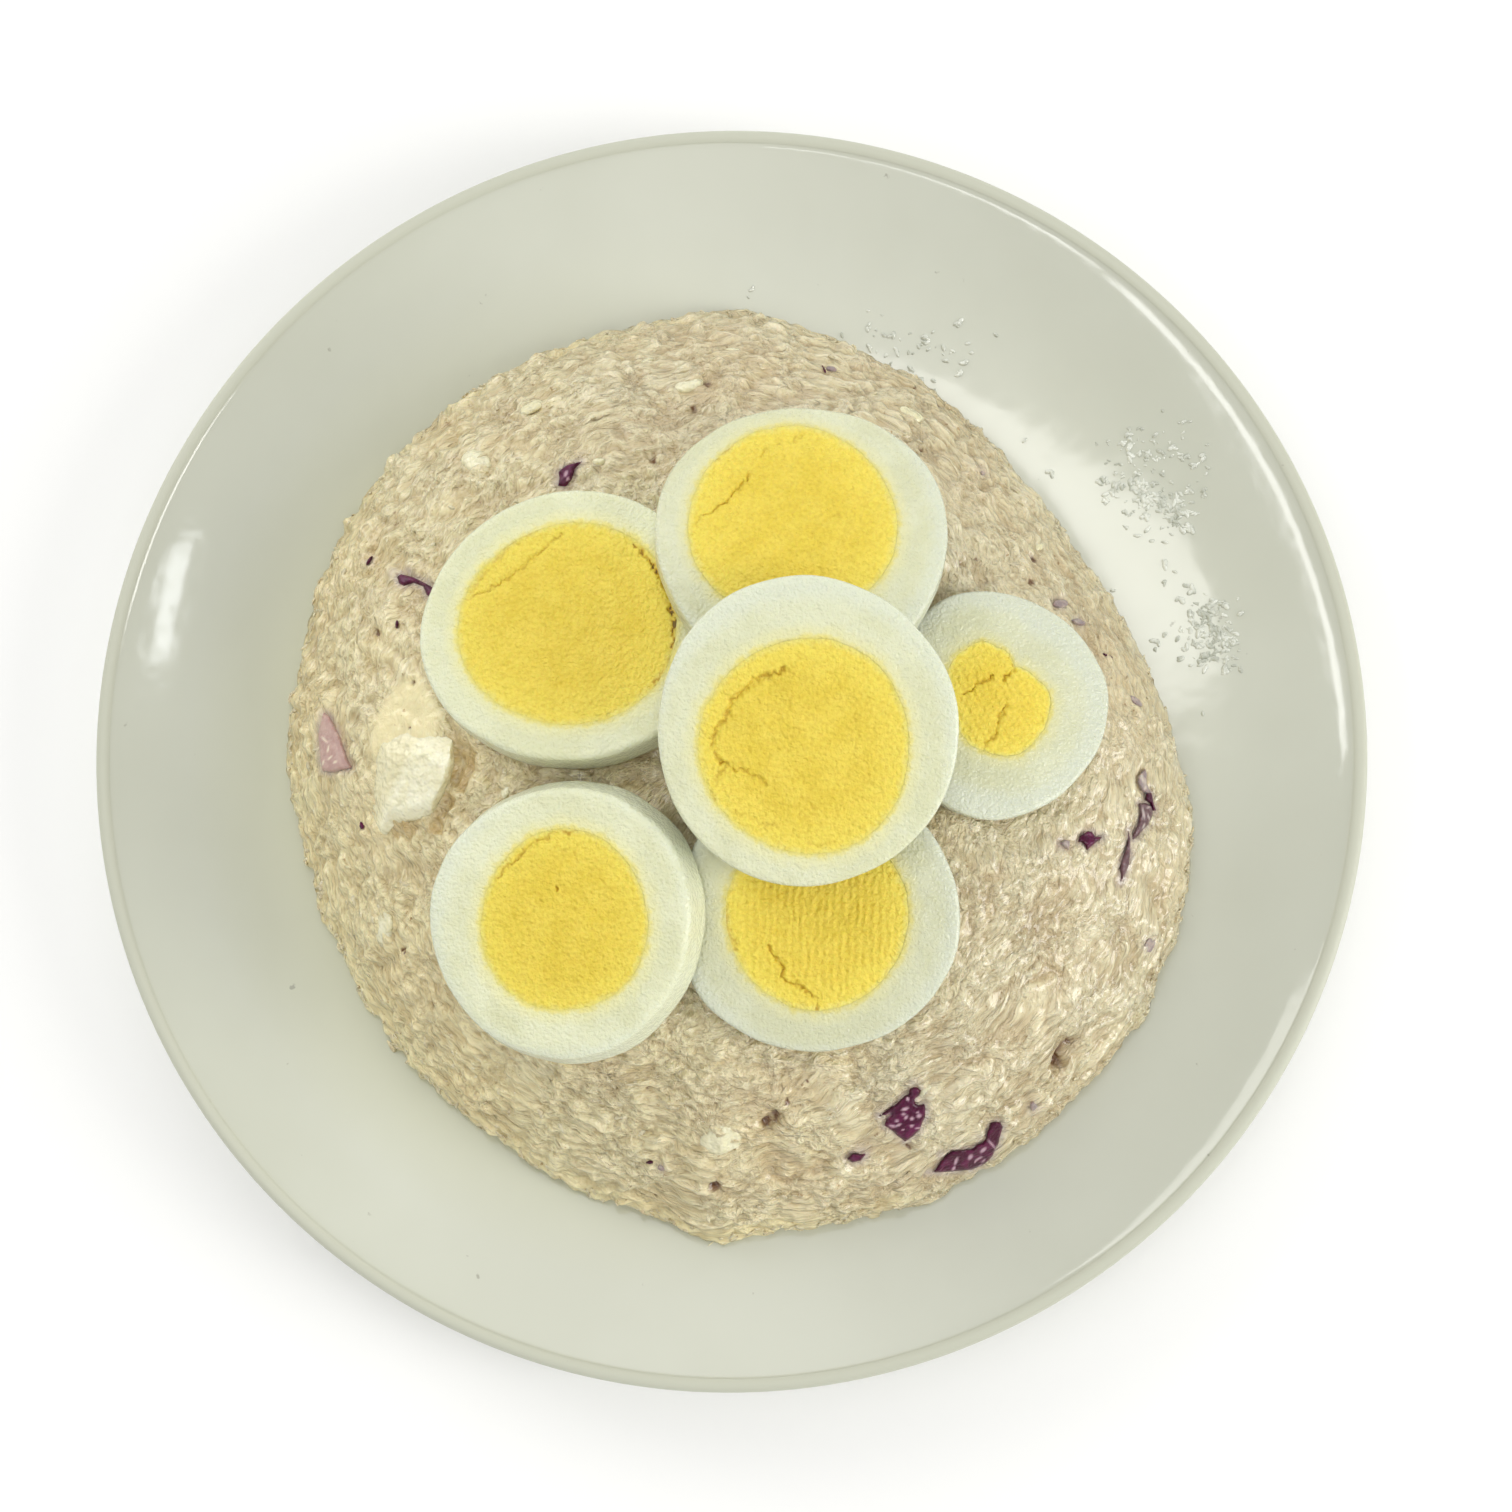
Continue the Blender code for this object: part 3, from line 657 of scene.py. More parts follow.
# %% Outlines of the sunk pieces
ONIONS = {
    "front": (
        (28.4, -54.6), (29.0, -54.6), (29.7, -55.2), (29.4, -55.9), (28.7, -56.4), (28.8, -57.1),
        (29.4, -57.4), (30.2, -57.2), (30.5, -58.0), (30.4, -59.2), (29.9, -60.4), (29.7, -61.0),
        (28.6, -62.2), (27.4, -63.0), (26.2, -62.1), (25.4, -61.3), (24.1, -60.4), (24.5, -59.3),
        (25.2, -58.6), (23.4, -59.1), (23.2, -58.9), (24.6, -58.0), (25.9, -57.1), (27.2, -55.9),
        (27.8, -55.7), (27.9, -54.9)),
    "front_right": (
        (31.1, -68.1), (32.2, -68.0), (32.9, -66.9), (33.8, -65.6), (34.8, -64.8), (36.5, -64.6),
        (38.1, -64.6), (38.8, -63.9), (39.8, -63.6), (40.2, -63.0), (40.4, -62.0), (40.9, -60.4),
        (41.6, -60.2), (42.5, -60.4), (42.9, -61.1), (42.7, -62.2), (42.4, -63.9), (41.9, -64.8),
        (41.7, -65.7), (40.9, -66.8), (40.1, -67.4), (38.4, -68.0), (36.1, -68.1), (34.0, -68.2)),
    "left": (
        (-64.3, 4.1), (-62.9, 3.1), (-60.7, -0.6), (-59.3, -4.1), (-58.5, -5.5), (-62.3, -5.8),
        (-64.4, -5.3), (-64.9, -1.8), (-65.2, 0.5)),
    "upper_left": (
        (-51.9, 24.7), (-51.1, 25.0), (-48.9, 24.2), (-46.5, 22.8), (-44.7, 21.6), (-44.5, 21.1),
        (-45.6, 20.4), (-46.4, 20.9), (-47.1, 22.4), (-48.8, 23.2), (-50.5, 22.9), (-51.3, 23.3)),
    "top": (
        (-26.0, 40.0), (-24.8, 41.1), (-22.3, 41.6), (-23.4, 40.3), (-23.8, 38.7), (-24.7, 37.6),
        (-26.0, 37.6), (-25.8, 39.1)),
    "right": (
        (64.3, -11.1), (65.5, -10.9), (66.7, -11.3), (66.8, -12.4), (66.0, -14.1), (65.0, -15.1),
        (64.1, -16.1), (62.9, -17.0), (63.0, -16.1), (64.1, -14.1), (64.4, -12.5)),
    "right_low": (
        (62.3, -15.5), (62.6, -17.0), (62.6, -18.4), (62.4, -20.6), (61.9, -21.8), (61.1, -23.1),
        (60.8, -23.8), (60.9, -22.7), (60.7, -21.5), (61.0, -20.1), (61.8, -18.3), (62.1, -17.0)),
}
DARK_BITS = (
    ((65.6, -9.4), (66.6, -9.1), (66.8, -10.0), (67.0, -11.0), (67.4, -11.9), (66.8, -12.0),
     (66.4, -10.9), (65.5, -10.5)),
    ((53.7, -17.7), (54.1, -16.7), (55.4, -15.9), (56.1, -16.0), (56.6, -16.7), (57.9, -16.7),
     (56.8, -17.5), (55.6, -18.5), (55.1, -18.9), (55.0, -18.2), (54.2, -17.6)),
    ((18.5, -65.6), (19.3, -64.8), (21.4, -64.9), (20.6, -65.9), (19.3, -66.2)),
)
LILAC_BITS = (
    ((65.7, -5.3), (66.0, -6.2), (65.8, -7.7), (66.3, -8.7), (66.8, -9.0), (65.8, -9.5),
     (64.9, -9.1), (64.1, -7.9), (64.3, -6.8), (65.2, -5.8)),
    ((50.8, -18.0), (51.6, -17.4), (52.4, -17.6), (52.2, -19.0), (51.5, -18.5)),
)
CHUNK = (
    (-53.3, -1.1), (-54.1, -3.9), (-54.5, -6.7), (-54.8, -9.7), (-54.9, -12.8), (-54.7, -15.6),
    (-52.7, -16.6), (-50.6, -14.5), (-48.8, -14.4), (-46.4, -14.1), (-44.5, -13.4), (-42.9, -11.0),
    (-41.7, -8.7), (-41.0, -5.9), (-41.3, -2.4), (-43.0, -1.3), (-45.0, -0.5), (-48.1, -0.2),
    (-51.0, -0.4))
CRUMBS_BELOW_CHUNK = (
    (-51.4, -14.1), (-49.8, -13.7), (-47.1, -14.2), (-47.4, -16.3), (-49.5, -16.8), (-51.1, -15.9))
ABOVE_CHUNK = (     # where the paste is smeared smooth over the chunk's upper end
    (-54.3, -3.0), (-53.5, 1.0), (-51.8, 4.5), (-49.5, 6.5), (-47.2, 6.8), (-45.3, 4.5), (-44.0, 1.5),
    (-44.3, -1.5))
HOLLOWS = (     # outline and depth of dents in the paste beside the chunk of egg
    (((-40.8, -3.0), (-39.3, -3.5), (-38.1, -5.0), (-38.3, -6.6), (-39.1, -8.5), (-39.9, -9.9),
      (-41.4, -8.7), (-41.0, -5.9)), 1.5),
    (((-42.3, -10.6), (-40.9, -11.5), (-42.4, -13.4), (-43.4, -16.0), (-44.6, -16.0), (-43.6, -13.0)),
     1.1),
)
DENTS = [outline for outline, _ in HOLLOWS]
print("sunk pieces:", len(ONIONS) + len(DARK_BITS) + len(LILAC_BITS) + 1)

# %% Near a line, and inside an outline
FAR = 1e9


def nearest(points, line):
    """The nearest place on a line of straight stretches in plan, and how far away it is."""
    plan = points[:, :2]
    place, best = plan.copy(), np.full(len(plan), FAR)
    for start, end in zip(line, line[1:]):
        start, along = np.array(start), np.array(end) - np.array(start)
        share = np.clip((plan - start) @ along / (along @ along), 0.0, 1.0)
        gap = np.linalg.norm(plan - start - share[:, None] * along, axis=1)
        closer = gap < best
        place[closer] = (start + share[:, None] * along)[closer]
        best = np.minimum(best, gap)
    return place, best


def near_line(points, line):
    """How far points are from a line in plan."""
    return nearest(points, line)[1]


def closed(outline):
    return [*outline, outline[0]]


def inside(plan, outline):
    """Which plan points are inside an outline: a line to the right of them crosses it an odd number
    of times."""
    odd = np.zeros(len(plan), bool)
    x, y = plan[:, 0], plan[:, 1]
    for (ax, ay), (bx, by) in zip(outline, closed(outline)[1:]):
        if ay != by:
            odd ^= ((ay > y) != (by > y)) & (x < ax + (bx - ax) * (y - ay) / (by - ay))
    return odd


def cover(plan, outline, soft_edge):
    """1 inside an outline, fading to 0 in a soft edge round it."""
    near = np.exp(-(near_line(plan, closed(outline)) / soft_edge) ** 2)
    return np.where(inside(plan, outline), 1.0, near)


def cover_any(plan, outlines, soft_edge):
    return np.max([cover(plan, outline, soft_edge) for outline in outlines], axis=0)


SURFACE = BVHTree.FromPolygons(
    [Vector(point) for point in points_of(paste)], [face.vertices[:] for face in paste.data.polygons])
print("middle of the chunk is inside its outline:", inside(np.array([[-48.0, -8.0]]), CHUNK)[0])

# %% [markdown]
# ### Relief of the flakes
# Layers of relief are added along the surface's own normal: lumps of some millimetres, the ridges
# of the fibres, curls across them, and a finer grain. Little pits are pressed in at the places
# where the dish has them, and the material paints them dark brown inside: painted shade.

# %% Ridges that follow the spoon
RIDGE_DEPTH, CURL_DEPTH, FINE_DEPTH = 0.36, 0.46, 0.16
STROKE_RADIUS, HEAP_TOP = 62.0, 40.0     # where fibres have their full length, and the top of the heap
PITS = (     # x, y, radius and depth in mm
    (6.3, -60.3, 1.0, 1.2), (7.6, -59.2, 0.9, 1.0), (9.4, -56.9, 0.6, 0.6), (10.9, -55.1, 0.5, 0.5),
    (12.5, -53.8, 0.5, 0.5), (-1.8, -70.2, 1.2, 1.5), (-11.5, -54.8, 0.6, 0.7),
    (51.9, -51.7, 1.3, 2.2), (52.3, -49.8, 1.3, 2.4), (53.7, -48.4, 1.0, 1.8),
    (-54.9, 15.8, 0.7, 1.0), (-48.2, 7.1, 0.5, 0.8), (-45.8, -42.3, 0.5, 0.7), (-50.1, -34.0, 0.5, 0.6),
    (40.8, 39.3, 0.7, 1.0), (48.9, 28.2, 0.9, 1.0), (48.0, 23.7, 0.7, 0.9), (36.4, 25.3, 0.6, 0.8),
    (38.9, 26.3, 0.5, 0.6), (-3.1, 55.7, 0.8, 1.0), (-5.0, 50.6, 0.8, 1.0), (34.6, 56.1, 0.6, 0.8),
    (30.6, 58.6, 0.6, 0.7), (31.0, 45.3, 0.6, 0.8), (-11.1, 41.6, 0.9, 1.1), (28.3, -64.1, 0.5, 0.7),
    (-48.1, 6.8, 0.5, 0.7), (-48.6, -0.2, 0.4, 0.5), (-57.8, -4.9, 0.4, 0.7), (-56.6, -14.7, 0.5, 0.9),
)


def along_strokes(points, length, width):
    """Coordinates in which a cube of size 1 is a fibre of a length and width that lies round the heap."""
    wander = layered(points, (2.6, 13.0, 3.0), (0.8, 4.0, 9.0), (0.2, 1.6, 4.0))
    radius, turn = polar(points[:, :2], HEAP)
    radius = radius + 0.55 * (HEAP_TOP - points[:, 2]) + wander
    turn = turn + 0.06 * soft(points, 8.0, 5.0)
    round_once = STROKE_RADIUS / length
    return np.column_stack((round_once * np.cos(turn), round_once * np.sin(turn), radius / width))


def spot(points, x, y, radius):
    """1 in the middle of a round spot, fading to 0 round it."""
    return np.exp(-((points[:, 0] - x) ** 2 + (points[:, 1] - y) ** 2) / radius**2)


def heap_relief(points):
    """Height of the relief at each point, and how deep in a pit it is."""
    ridges = billows(along_strokes(points, 3.4, 1.7), 1.0)
    curls = billows(points + 1.2 * soft(points, 3.0, 6.0)[:, None], 3.4, 7.0)
    fine = soft(along_strokes(points, 1.9, 0.95), 1.0, 7.0)
    left = np.clip(0.5 - points[:, 0] / 70.0, 0.25, 1.0)
    left *= np.clip(1.0 + points[:, 1] / 60.0, 0.45, 1.0)
    ends = 0.85 + 0.55 * np.clip(np.abs(points[:, 1]) / 55.0, 0.0, 1.0)
    relief = RIDGE_DEPTH * ends * ridges + CURL_DEPTH * left * curls + FINE_DEPTH * fine
    relief += layered(points, (0.55, 6.5, 1.0), (0.38, 2.6, 2.0))
    for outline in (*ONIONS.values(), *DARK_BITS, *LILAC_BITS):
        under = cover(points, outline, soft_edge=0.45)
        relief = relief * (1 - 0.8 * under) - 0.45 * under
    for outline, depth in HOLLOWS:
        relief -= depth * cover(points, outline, soft_edge=0.35)
    smooth = cover(points, ABOVE_CHUNK, soft_edge=1.0)
    relief = relief * (1 - 0.65 * smooth) + 0.25 * smooth
    # the pit mask, which the material paints dark brown: painted shade down in the pits
    pit = np.zeros(len(points))
    ragged = points[:, :2] + 0.5 * np.column_stack((soft(points, 0.9, 3.0), soft(points, 0.9, 5.0)))
    for x, y, radius, depth in PITS:
        near = spot(ragged, x, y, radius)
        relief -= depth * near
        pit = np.maximum(pit, near)
    return relief, pit


# %% [markdown]
# ### Cream and onion juice
# Where the cook smeared the foot of the heap it is pale and smooth. The paste is creamier on the
# left, and it is also painted paler there and towards the front left, and darker to the right and
# back, which is painted light. Round the onions the cream has taken up some of their colour. Each
# of these is a number painted on the points, which the material reads, so it can follow the traced
# outlines.

# %% Where the paste is creamy or tinted
def foot_smear(points, share, ring):
    """A pale smear of cream along the foot, which is widest at the lower left."""
    turn = np.degrees(polar(points[:, :2], HEAP)[1])
    lower_left = np.clip(1.6 - np.abs(turn + 125.0) / 28.0, 0.0, 1.0)
    foot = np.clip((share - 0.935 + 0.02 * soft(points, 4.0, 2.0)) / 0.015, 0.0, 1.0)
    foot = np.where(ring > 0, 1.0, foot)
    return foot * np.clip(0.25 + 1.3 * lower_left + 0.9 * soft(points, 9.0, 4.0), 0.0, 1.3)


def cream_and_painted_side_light(points, smear):
    """How creamy the paste is: in the smear and over the egg, and most on the left, where painted light also
    makes it paler to the left and front left, and darker to the right and back.
    """
    smear = np.maximum(smear, 1.4 * cover(points, ABOVE_CHUNK, soft_edge=1.0))
    x, y = points[:, 0], points[:, 1]
    # painted light: paler to the left and towards the front on the left, darker to the right and back
    painted_front_light = y / 250.0 * np.where(y > 0.0, 1.0, np.clip(0.5 - x / 60.0, 0.0, 1.0))
    side_light_and_drift = 0.32 - x / 110.0 - painted_front_light + 0.25 * soft(points, 11.0, 6.0)
    return np.clip(side_light_and_drift + smear, 0.0, 1.0)


TINTS = (     # x, y, radius of the places where onion shows through the cream
    (20.9, -64.2, 1.3), (47.8, -58.1, 1.1), (52.4, 20.4, 1.2), (55.5, 17.7, 1.0), (41.1, 42.8, 0.9),
    (-57.3, 28.3, 1.0), (66.3, -32.9, 1.3), (51.2, -18.2, 1.2), (-9.9, -67.1, 0.8), (-52.5, 25.4, 1.0),
    (-49.6, 25.0, 0.9), (28.6, -54.0, 0.9), (23.9, -58.1, 0.8), (39.2, -62.9, 0.8), (33.0, -65.2, 0.8),
)


def tinted(points):
    """Where the juice of the onions has turned the cream lilac, also in a thin line round each piece."""
    spots = 0.75 * np.max([spot(points, *place) for place in TINTS], axis=0)
    rims = 0.7 * cover_any(points, (*ONIONS.values(), *DARK_BITS), soft_edge=0.7)
    return np.maximum(spots, rims) * np.clip(0.75 + 0.6 * soft(points, 1.3, 8.0), 0.0, 1.0)


print("places with a tint:", len(TINTS))

# %% Raise the relief
def normals_of(piece):
    return read(piece.data.vertices, "normal", 3).astype(float)


def raise_relief():
    points, normals = points_of(paste), normals_of(paste)
    relief, pit = heap_relief(points)
    relief *= np.where(paste_ring == 0, np.clip((1.0 - paste_share) * 30 + 0.35, 0, 1), 0.0)
    points += relief[:, None] * normals
    points[:, 2] = np.maximum(points[:, 2], paste_floor - 0.2)
    move_points(paste, points)
    smear = foot_smear(points, paste_share, paste_ring)
    calm = np.maximum(cover(points, ABOVE_CHUNK, soft_edge=1.0), 0.55 * np.clip(smear, 0.0, 1.0))
    # ochre below the chunk is the colour of its crumbs; ochre in the dents beside the chunk is painted shade
    crumbs_and_dent_shade = cover_any(points, (CRUMBS_BELOW_CHUNK, *DENTS), soft_edge=0.7)
    crumbs_and_dent_shade *= np.clip(0.55 + 1.2 * soft(points, 1.6, 5.0), 0.0, 1.0)
    # the relief's height is painted as well, so that the material paints low places darker and crests paler:
    # painted shade and light
    for name, values in (
            ("relief", np.clip(relief * 0.8 + 0.5, 0.0, 1.0)), ("pit", pit), ("tint", tinted(points)),
            ("cream", cream_and_painted_side_light(points, smear)), ("calm", calm), ("ochre_crumbs_and_dent_shade", crumbs_and_dent_shade),
            ("stroke", along_strokes(points, 1.0, 1.0))):
        paint(paste, name, values)
    return relief


relief = raise_relief()
print("relief from", relief.min().round(2), "to", relief.max().round(2), "mm")

# %% [markdown]
# ### Finish of the paste
# Mayonnaise makes the fish pale and wet. Low places of the relief and the valleys between fibres are
# painted darker and browner and the crests paler, which is painted shade and light, and the colour
# drifts slowly from place to place. Light goes a little way in, so some subsurface scattering softens
# the shadows between the fibres, and a thin coat gives the small wet highlights. A group gives the
# height of the finest fibres, too fine for the mesh, for the paste and its flakes.

# %% Wet fibres
def make_fibres():
    """The height of wet fibres, from 0 in a valley to 1. They follow coordinates painted on the mesh
    in millimetres."""
    group, inputs, result = new_group("wet_fibres", "Height", Length=2.5, Width=0.8, Twist=0.5)
    place = add(group, "Attribute", attribute_name="stroke").outputs["Vector"]
    sizes = add(group, "CombineXYZ", X=inputs["Length"], Y=inputs["Length"], Z=inputs["Width"])
    scaled = calculate(group, "DIVIDE", place, sizes.outputs[0], kind="VectorMath")
    strands = noise_texture(group, scaled, 1.0, 2.0, Distortion=inputs["Twist"])
    stretched = add(group, "MapRange", Value=strands, From_Min=0.3, From_Max=0.7)
    put(group, stretched.outputs["Result"], result)
    return group


FIBRES = make_fibres()


def fibres(tree, length, width, twist):
    return add(tree, "Group", node_tree=FIBRES, Length=length, Width=width, Twist=twist).outputs["Height"]


def fibrous_height(tree, cream):
    """Two sizes of fibre added up as a height. Round puffs take the place of the larger ones where
    the paste is creamy."""
    puffs = add(tree, "Mix", Factor=times(tree, cream, 0.20), A=fibres(tree, 2.1, 1.15, 0.8),
                B=mottled(tree, 560.0, 0.28, 0.72)).outputs["Result"]
    return calculate(tree, "MULTIPLY_ADD", fibres(tree, 1.0, 0.6, 0.5), 0.5, puffs)


print("node groups:", [group.name for group in bpy.data.node_groups])

# %% Paste
PASTE_LOW, PASTE_MID, PASTE_HIGH = (0.715, 0.615, 0.40), (0.775, 0.69, 0.45), (0.86, 0.78, 0.545)
CREAM, PIT_SHADE_BROWN, LILAC_TINT = (0.935, 0.83, 0.465), (0.17, 0.07, 0.018), (0.56, 0.47, 0.45)
OCHRE = (0.62, 0.45, 0.19)


def multiplied(tree, mask, colour, factor):
    """A colour multiplied by another where a mask is 1."""
    return blend(tree, mask, colour, factor, "MULTIPLY")


def make_paste_finish(name, crest):
    """The salad's material. How high a place stands is a number painted on the mesh; low places are painted
    darker and crests paler, as painted shade and light. On the flakes the number is a random tone.
    """
    material, tree = new_material(
        name, Roughness=0.32, Subsurface_Weight=0.15, Subsurface_Scale=0.0008,
        Subsurface_Radius=(1.0, 0.7, 0.4), Coat_Weight=0.85, Coat_Roughness=0.13)
    raised, cream = painted(tree, crest), painted(tree, "cream")
    # painted shade and light: darker low places, paler crests
    low = blend(tree, window(tree, raised, 0.05, 0.46), PASTE_LOW, PASTE_MID)
    colour = blend(tree, window(tree, raised, 0.50, 0.9), low, PASTE_HIGH)
    # the cream mask is partly real cream and partly painted light
    colour = blend(tree, times(tree, cream, 0.7), colour, CREAM)
    height = fibrous_height(tree, cream)
    rough = calculate(tree, "MULTIPLY_ADD", painted(tree, "calm"), -0.75, 1.0)
    deeper = calculate(tree, "MULTIPLY_ADD", cream, 0.12, 0.5)
    # painted shade: darker in the valleys between the finest fibres
    valley = times(tree, times(tree, window(tree, height, 0.90, 0.28), deeper), rough)
    # the first two factors are painted shade; the two mottlings after them are the fish's own colour
    for mask, factor in (
            (valley, (0.66, 0.58, 0.46)), (window(tree, raised, 0.42, 0.12), (0.91, 0.875, 0.82)),
            (mottled(tree, 55.0, 0.42, 0.68), (0.97, 0.93, 0.89)),
            (mottled(tree, 900.0, 0.66, 0.76), (0.62, 0.50, 0.38))):
        colour = multiplied(tree, mask, colour, factor)
    colour = blend(tree, painted(tree, "tint"), colour, LILAC_TINT)
    # ochre: the crumbs' own colour below the chunk, and painted shade in the dents beside it
    colour = blend(tree, painted(tree, "ochre_crumbs_and_dent_shade"), colour, OCHRE)
    # painted shade: dark brown in the pits
    colour = blend(tree, window(tree, painted(tree, "pit"), 0.35, 0.9), colour, PIT_SHADE_BROWN)
    return shade(material, Base_Color=colour, Normal=bumped(tree, times(tree, height, rough), distance=0.55))


PASTE = make_paste_finish("tuna_paste", "relief")
dress(paste, PASTE, "tuna_salad", "salad")

# %% [markdown]
# ## Loose flakes
# On top of the paste lie some hundreds of small flakes, half sunk in it. A flake is modelled from
# a sphere in three bent shapes, and copies of their points are turned, scaled and set down at
# random along the strokes, in a mesh of its own for each batch.

# %% Model three flakes
def take_apart(piece):
    """Points and faces of a piece, which is removed, so that copies can be made of them."""
    points, faces = points_of(piece), [tuple(face.vertices) for face in piece.data.polygons]
    bpy.data.objects.remove(piece)
    return points, faces


def make_flake(bend, taper):
    """Points and faces of a flat, bent flake, 1 long, 1 wide and 1 thick."""
    bpy.ops.object.select_all(action="DESELECT")
    bpy.ops.mesh.primitive_uv_sphere_add(segments=6, ring_count=5, radius=500.0 * MM)
    points, faces = take_apart(rename("flake"))
    points = points[:, [2, 0, 1]] / 1000.0
    u = points[:, 0] * 2
    points[:, 1:] *= (1.0 - taper * u)[:, None]
    points[:, 1] += bend * (u * u - 0.3)
    points[:, 2] += 0.25 * np.sin(u * 2.5)
    return points, faces


FLAKES = [make_flake(bend, taper) for bend, taper in ((0.25, 0.35), (-0.35, 0.15), (0.1, 0.5))]
print("a flake has", len(FLAKES[0][0]), "points")

# %% Set flakes down along the strokes
def open_places():
    """Indices of the heap's points that no egg slice covers."""
    points = points_of(paste)
    dented = cover_any(points, (ABOVE_CHUNK, *DENTS), soft_edge=0.5)
    spots = []
    for i in np.nonzero((paste_ring == 0) & (paste_share < 0.995) & (dented < 0.5))[0]:
        over = egg_tree.ray_cast(Vector(points[i]) + UP * 0.2, UP)[0]
        if over is None or over.z - points[i, 2] > 2.5:
            spots.append(i)
    return np.array(spots)


def build_mesh(name, parts):
    """One piece from many parts, each of which is an array of points and a list of faces."""
    faces, start = [], 0
    for points, part_faces in parts:
        faces += [tuple(start + i for i in face) for face in part_faces]
        start += len(points)
    mesh = bpy.data.meshes.new(name)
    mesh.from_pydata((np.concatenate([points for points, _ in parts]) * MM).tolist(), [], faces)
    mesh.update()
    piece = bpy.data.objects.new(name, mesh)
    bpy.context.scene.collection.objects.link(piece)
    return piece


def scatter(name, seed, count, where, length, width, thick, sink, stray):
    """Flakes of a range of lengths and widths in mm, turned some `stray` degrees off the strokes."""
    chance = np.random.default_rng(seed)
    base, normals = points_of(paste), normals_of(paste)
    spots = chance.choice(where, count)
    parts, tones = [], []
    for spot in spots:
        shape, faces = FLAKES[chance.integers(len(FLAKES))]
        size = np.array((chance.uniform(*length), chance.uniform(*width), thick))
        size[2] *= chance.uniform(0.7, 1.3)
        up = normals[spot] + chance.normal(0.0, 0.16, 3)
        up /= np.linalg.norm(up)
        round_heap = np.array((HEAP[1] - base[spot, 1], base[spot, 0] - HEAP[0], 0.0))
        round_heap /= np.linalg.norm(round_heap) + TINY
        swing = chance.normal(0.0, math.radians(stray))
        along = round_heap * math.cos(swing) + np.cross(up, round_heap) * math.sin(swing)
        along -= up * (along @ up)
        along /= np.linalg.norm(along)
        axes = np.array((along, np.cross(up, along), up))
        parts.append(((shape * size) @ axes + (base[spot] - up * sink * size[2]), faces))
        tones.append(np.clip(chance.normal(0.6, 0.16), 0.0, 1.0))
    piece = build_mesh(name, parts)
    sources = np.repeat(spots, len(FLAKES[0][0]))
    paint(piece, "tone", np.repeat(tones, len(FLAKES[0][0])))
    strokes = along_strokes(base, 1.0, 1.0)
    paint(piece, "stroke", strokes[sources] + (points_of(piece) - base[sources]))
    return piece


FLAKE_FINISH = make_paste_finish("tuna_flakes", "tone")
flakes = scatter(
    "flakes", seed=11, count=600, where=open_places(), length=(1.0, 2.3), width=(0.6, 1.1), thick=0.55,
    sink=0.42, stray=30.0)
dress(flakes, FLAKE_FINISH, "tuna_salad", "salad")

# the ragged foot: short bits that stick out a little all round
rim = np.nonzero((paste_ring == 0) & (paste_share > 0.975) & (paste_share < 0.998))[0]
crumbs = scatter(
    "flakes_of_the_foot", seed=23, count=420, where=rim, length=(0.8, 2.2), width=(0.4, 0.9), thick=0.5,
    sink=0.1, stray=55.0)
dress(crumbs, FLAKE_FINISH, "tuna_salad", "salad")

# %% [markdown]
# ## Boiled egg slices
# Each slice was cut across a boiled egg: a ring of white round a disc of yolk, lying a little
# askew on the heap and sagging at its rims. The solids say where each slice lies, so the same
# plan, lean and bend are used here, and the slice's height is read from its solid.

# %% Plans of the slices
SLICES = {
    "upper_left": dict(
        place=(-23.0, 14.1), half=(22.5, 21.0), thick=5.8, flare=0.6, lobes=(0.35, 3, 200.0),
        yolk_place=(0.0, 0.0), yolk_half=(16.5, 15.6), yolk_lobes=(0.3, 3, 70.0),
        lean=(9.0, 130.0), bend=(0.9, 0.7)),
    "bottom": dict(
        place=(14.0, -29.0), half=(21.0, 20.5), thick=4.6, flare=0.0, lobes=(0.3, 3, 100.0),
        yolk_place=(-0.1, -0.7), yolk_half=(13.4, 13.2), yolk_lobes=(0.25, 3, 30.0),
        lean=(8.0, -70.0), bend=(0.6, 0.9)),
    "right": dict(
        place=(41.4, 2.8), half=(16.8, 17.5), thick=4.0, flare=-0.5, lobes=(0.55, 3, 250.0),
        yolk_place=(0.0, 0.3), yolk_half=(7.5, 7.9), yolk_lobes=(0.35, 4, 20.0),
        lean=(14.0, 12.0), bend=(0.8, 0.4)),
    "top": dict(
        place=(11.8, 26.3), half=(21.6, 21.9), thick=4.4, flare=0.3, lobes=(0.45, 3, 150.0),
        yolk_place=(-1.4, 2.4), yolk_half=(15.4, 15.3), yolk_lobes=(0.3, 3, 95.0),
        lean=(13.0, 80.0), bend=(0.3, 1.6)),
    "lower_left": dict(
        place=(-23.7, -30.3), half=(19.3, 19.4), thick=5.4, flare=1.8, lobes=(0.3, 3, 40.0),
        yolk_place=(0.8, 0.0), yolk_half=(12.4, 13.1), yolk_lobes=(0.25, 3, 90.0),
        lean=(12.0, 200.0), bend=(0.8, 0.5)),
    "centre": dict(
        place=(12.5, -3.8), half=(21.6, 21.9), thick=4.8, flare=-0.4, lobes=(0.25, 3, 0.0),
        yolk_place=(-0.3, -2.1), yolk_half=(15.0, 15.1), yolk_lobes=(0.3, 3, 60.0),
        lean=(10.0, -82.0), bend=(0.6, 0.6)),
}

# %% Where a point of a slice lies
def oval(angle, half, lobes):
    """Radius of an oval in each direction, with a few low lobes."""
    mean, spread = (half[0] + half[1]) / 2, (half[0] - half[1]) / 2
    reach, count, crest = lobes
    return mean + spread * np.cos(2 * angle) + reach * np.cos(count * (angle - math.radians(crest)))


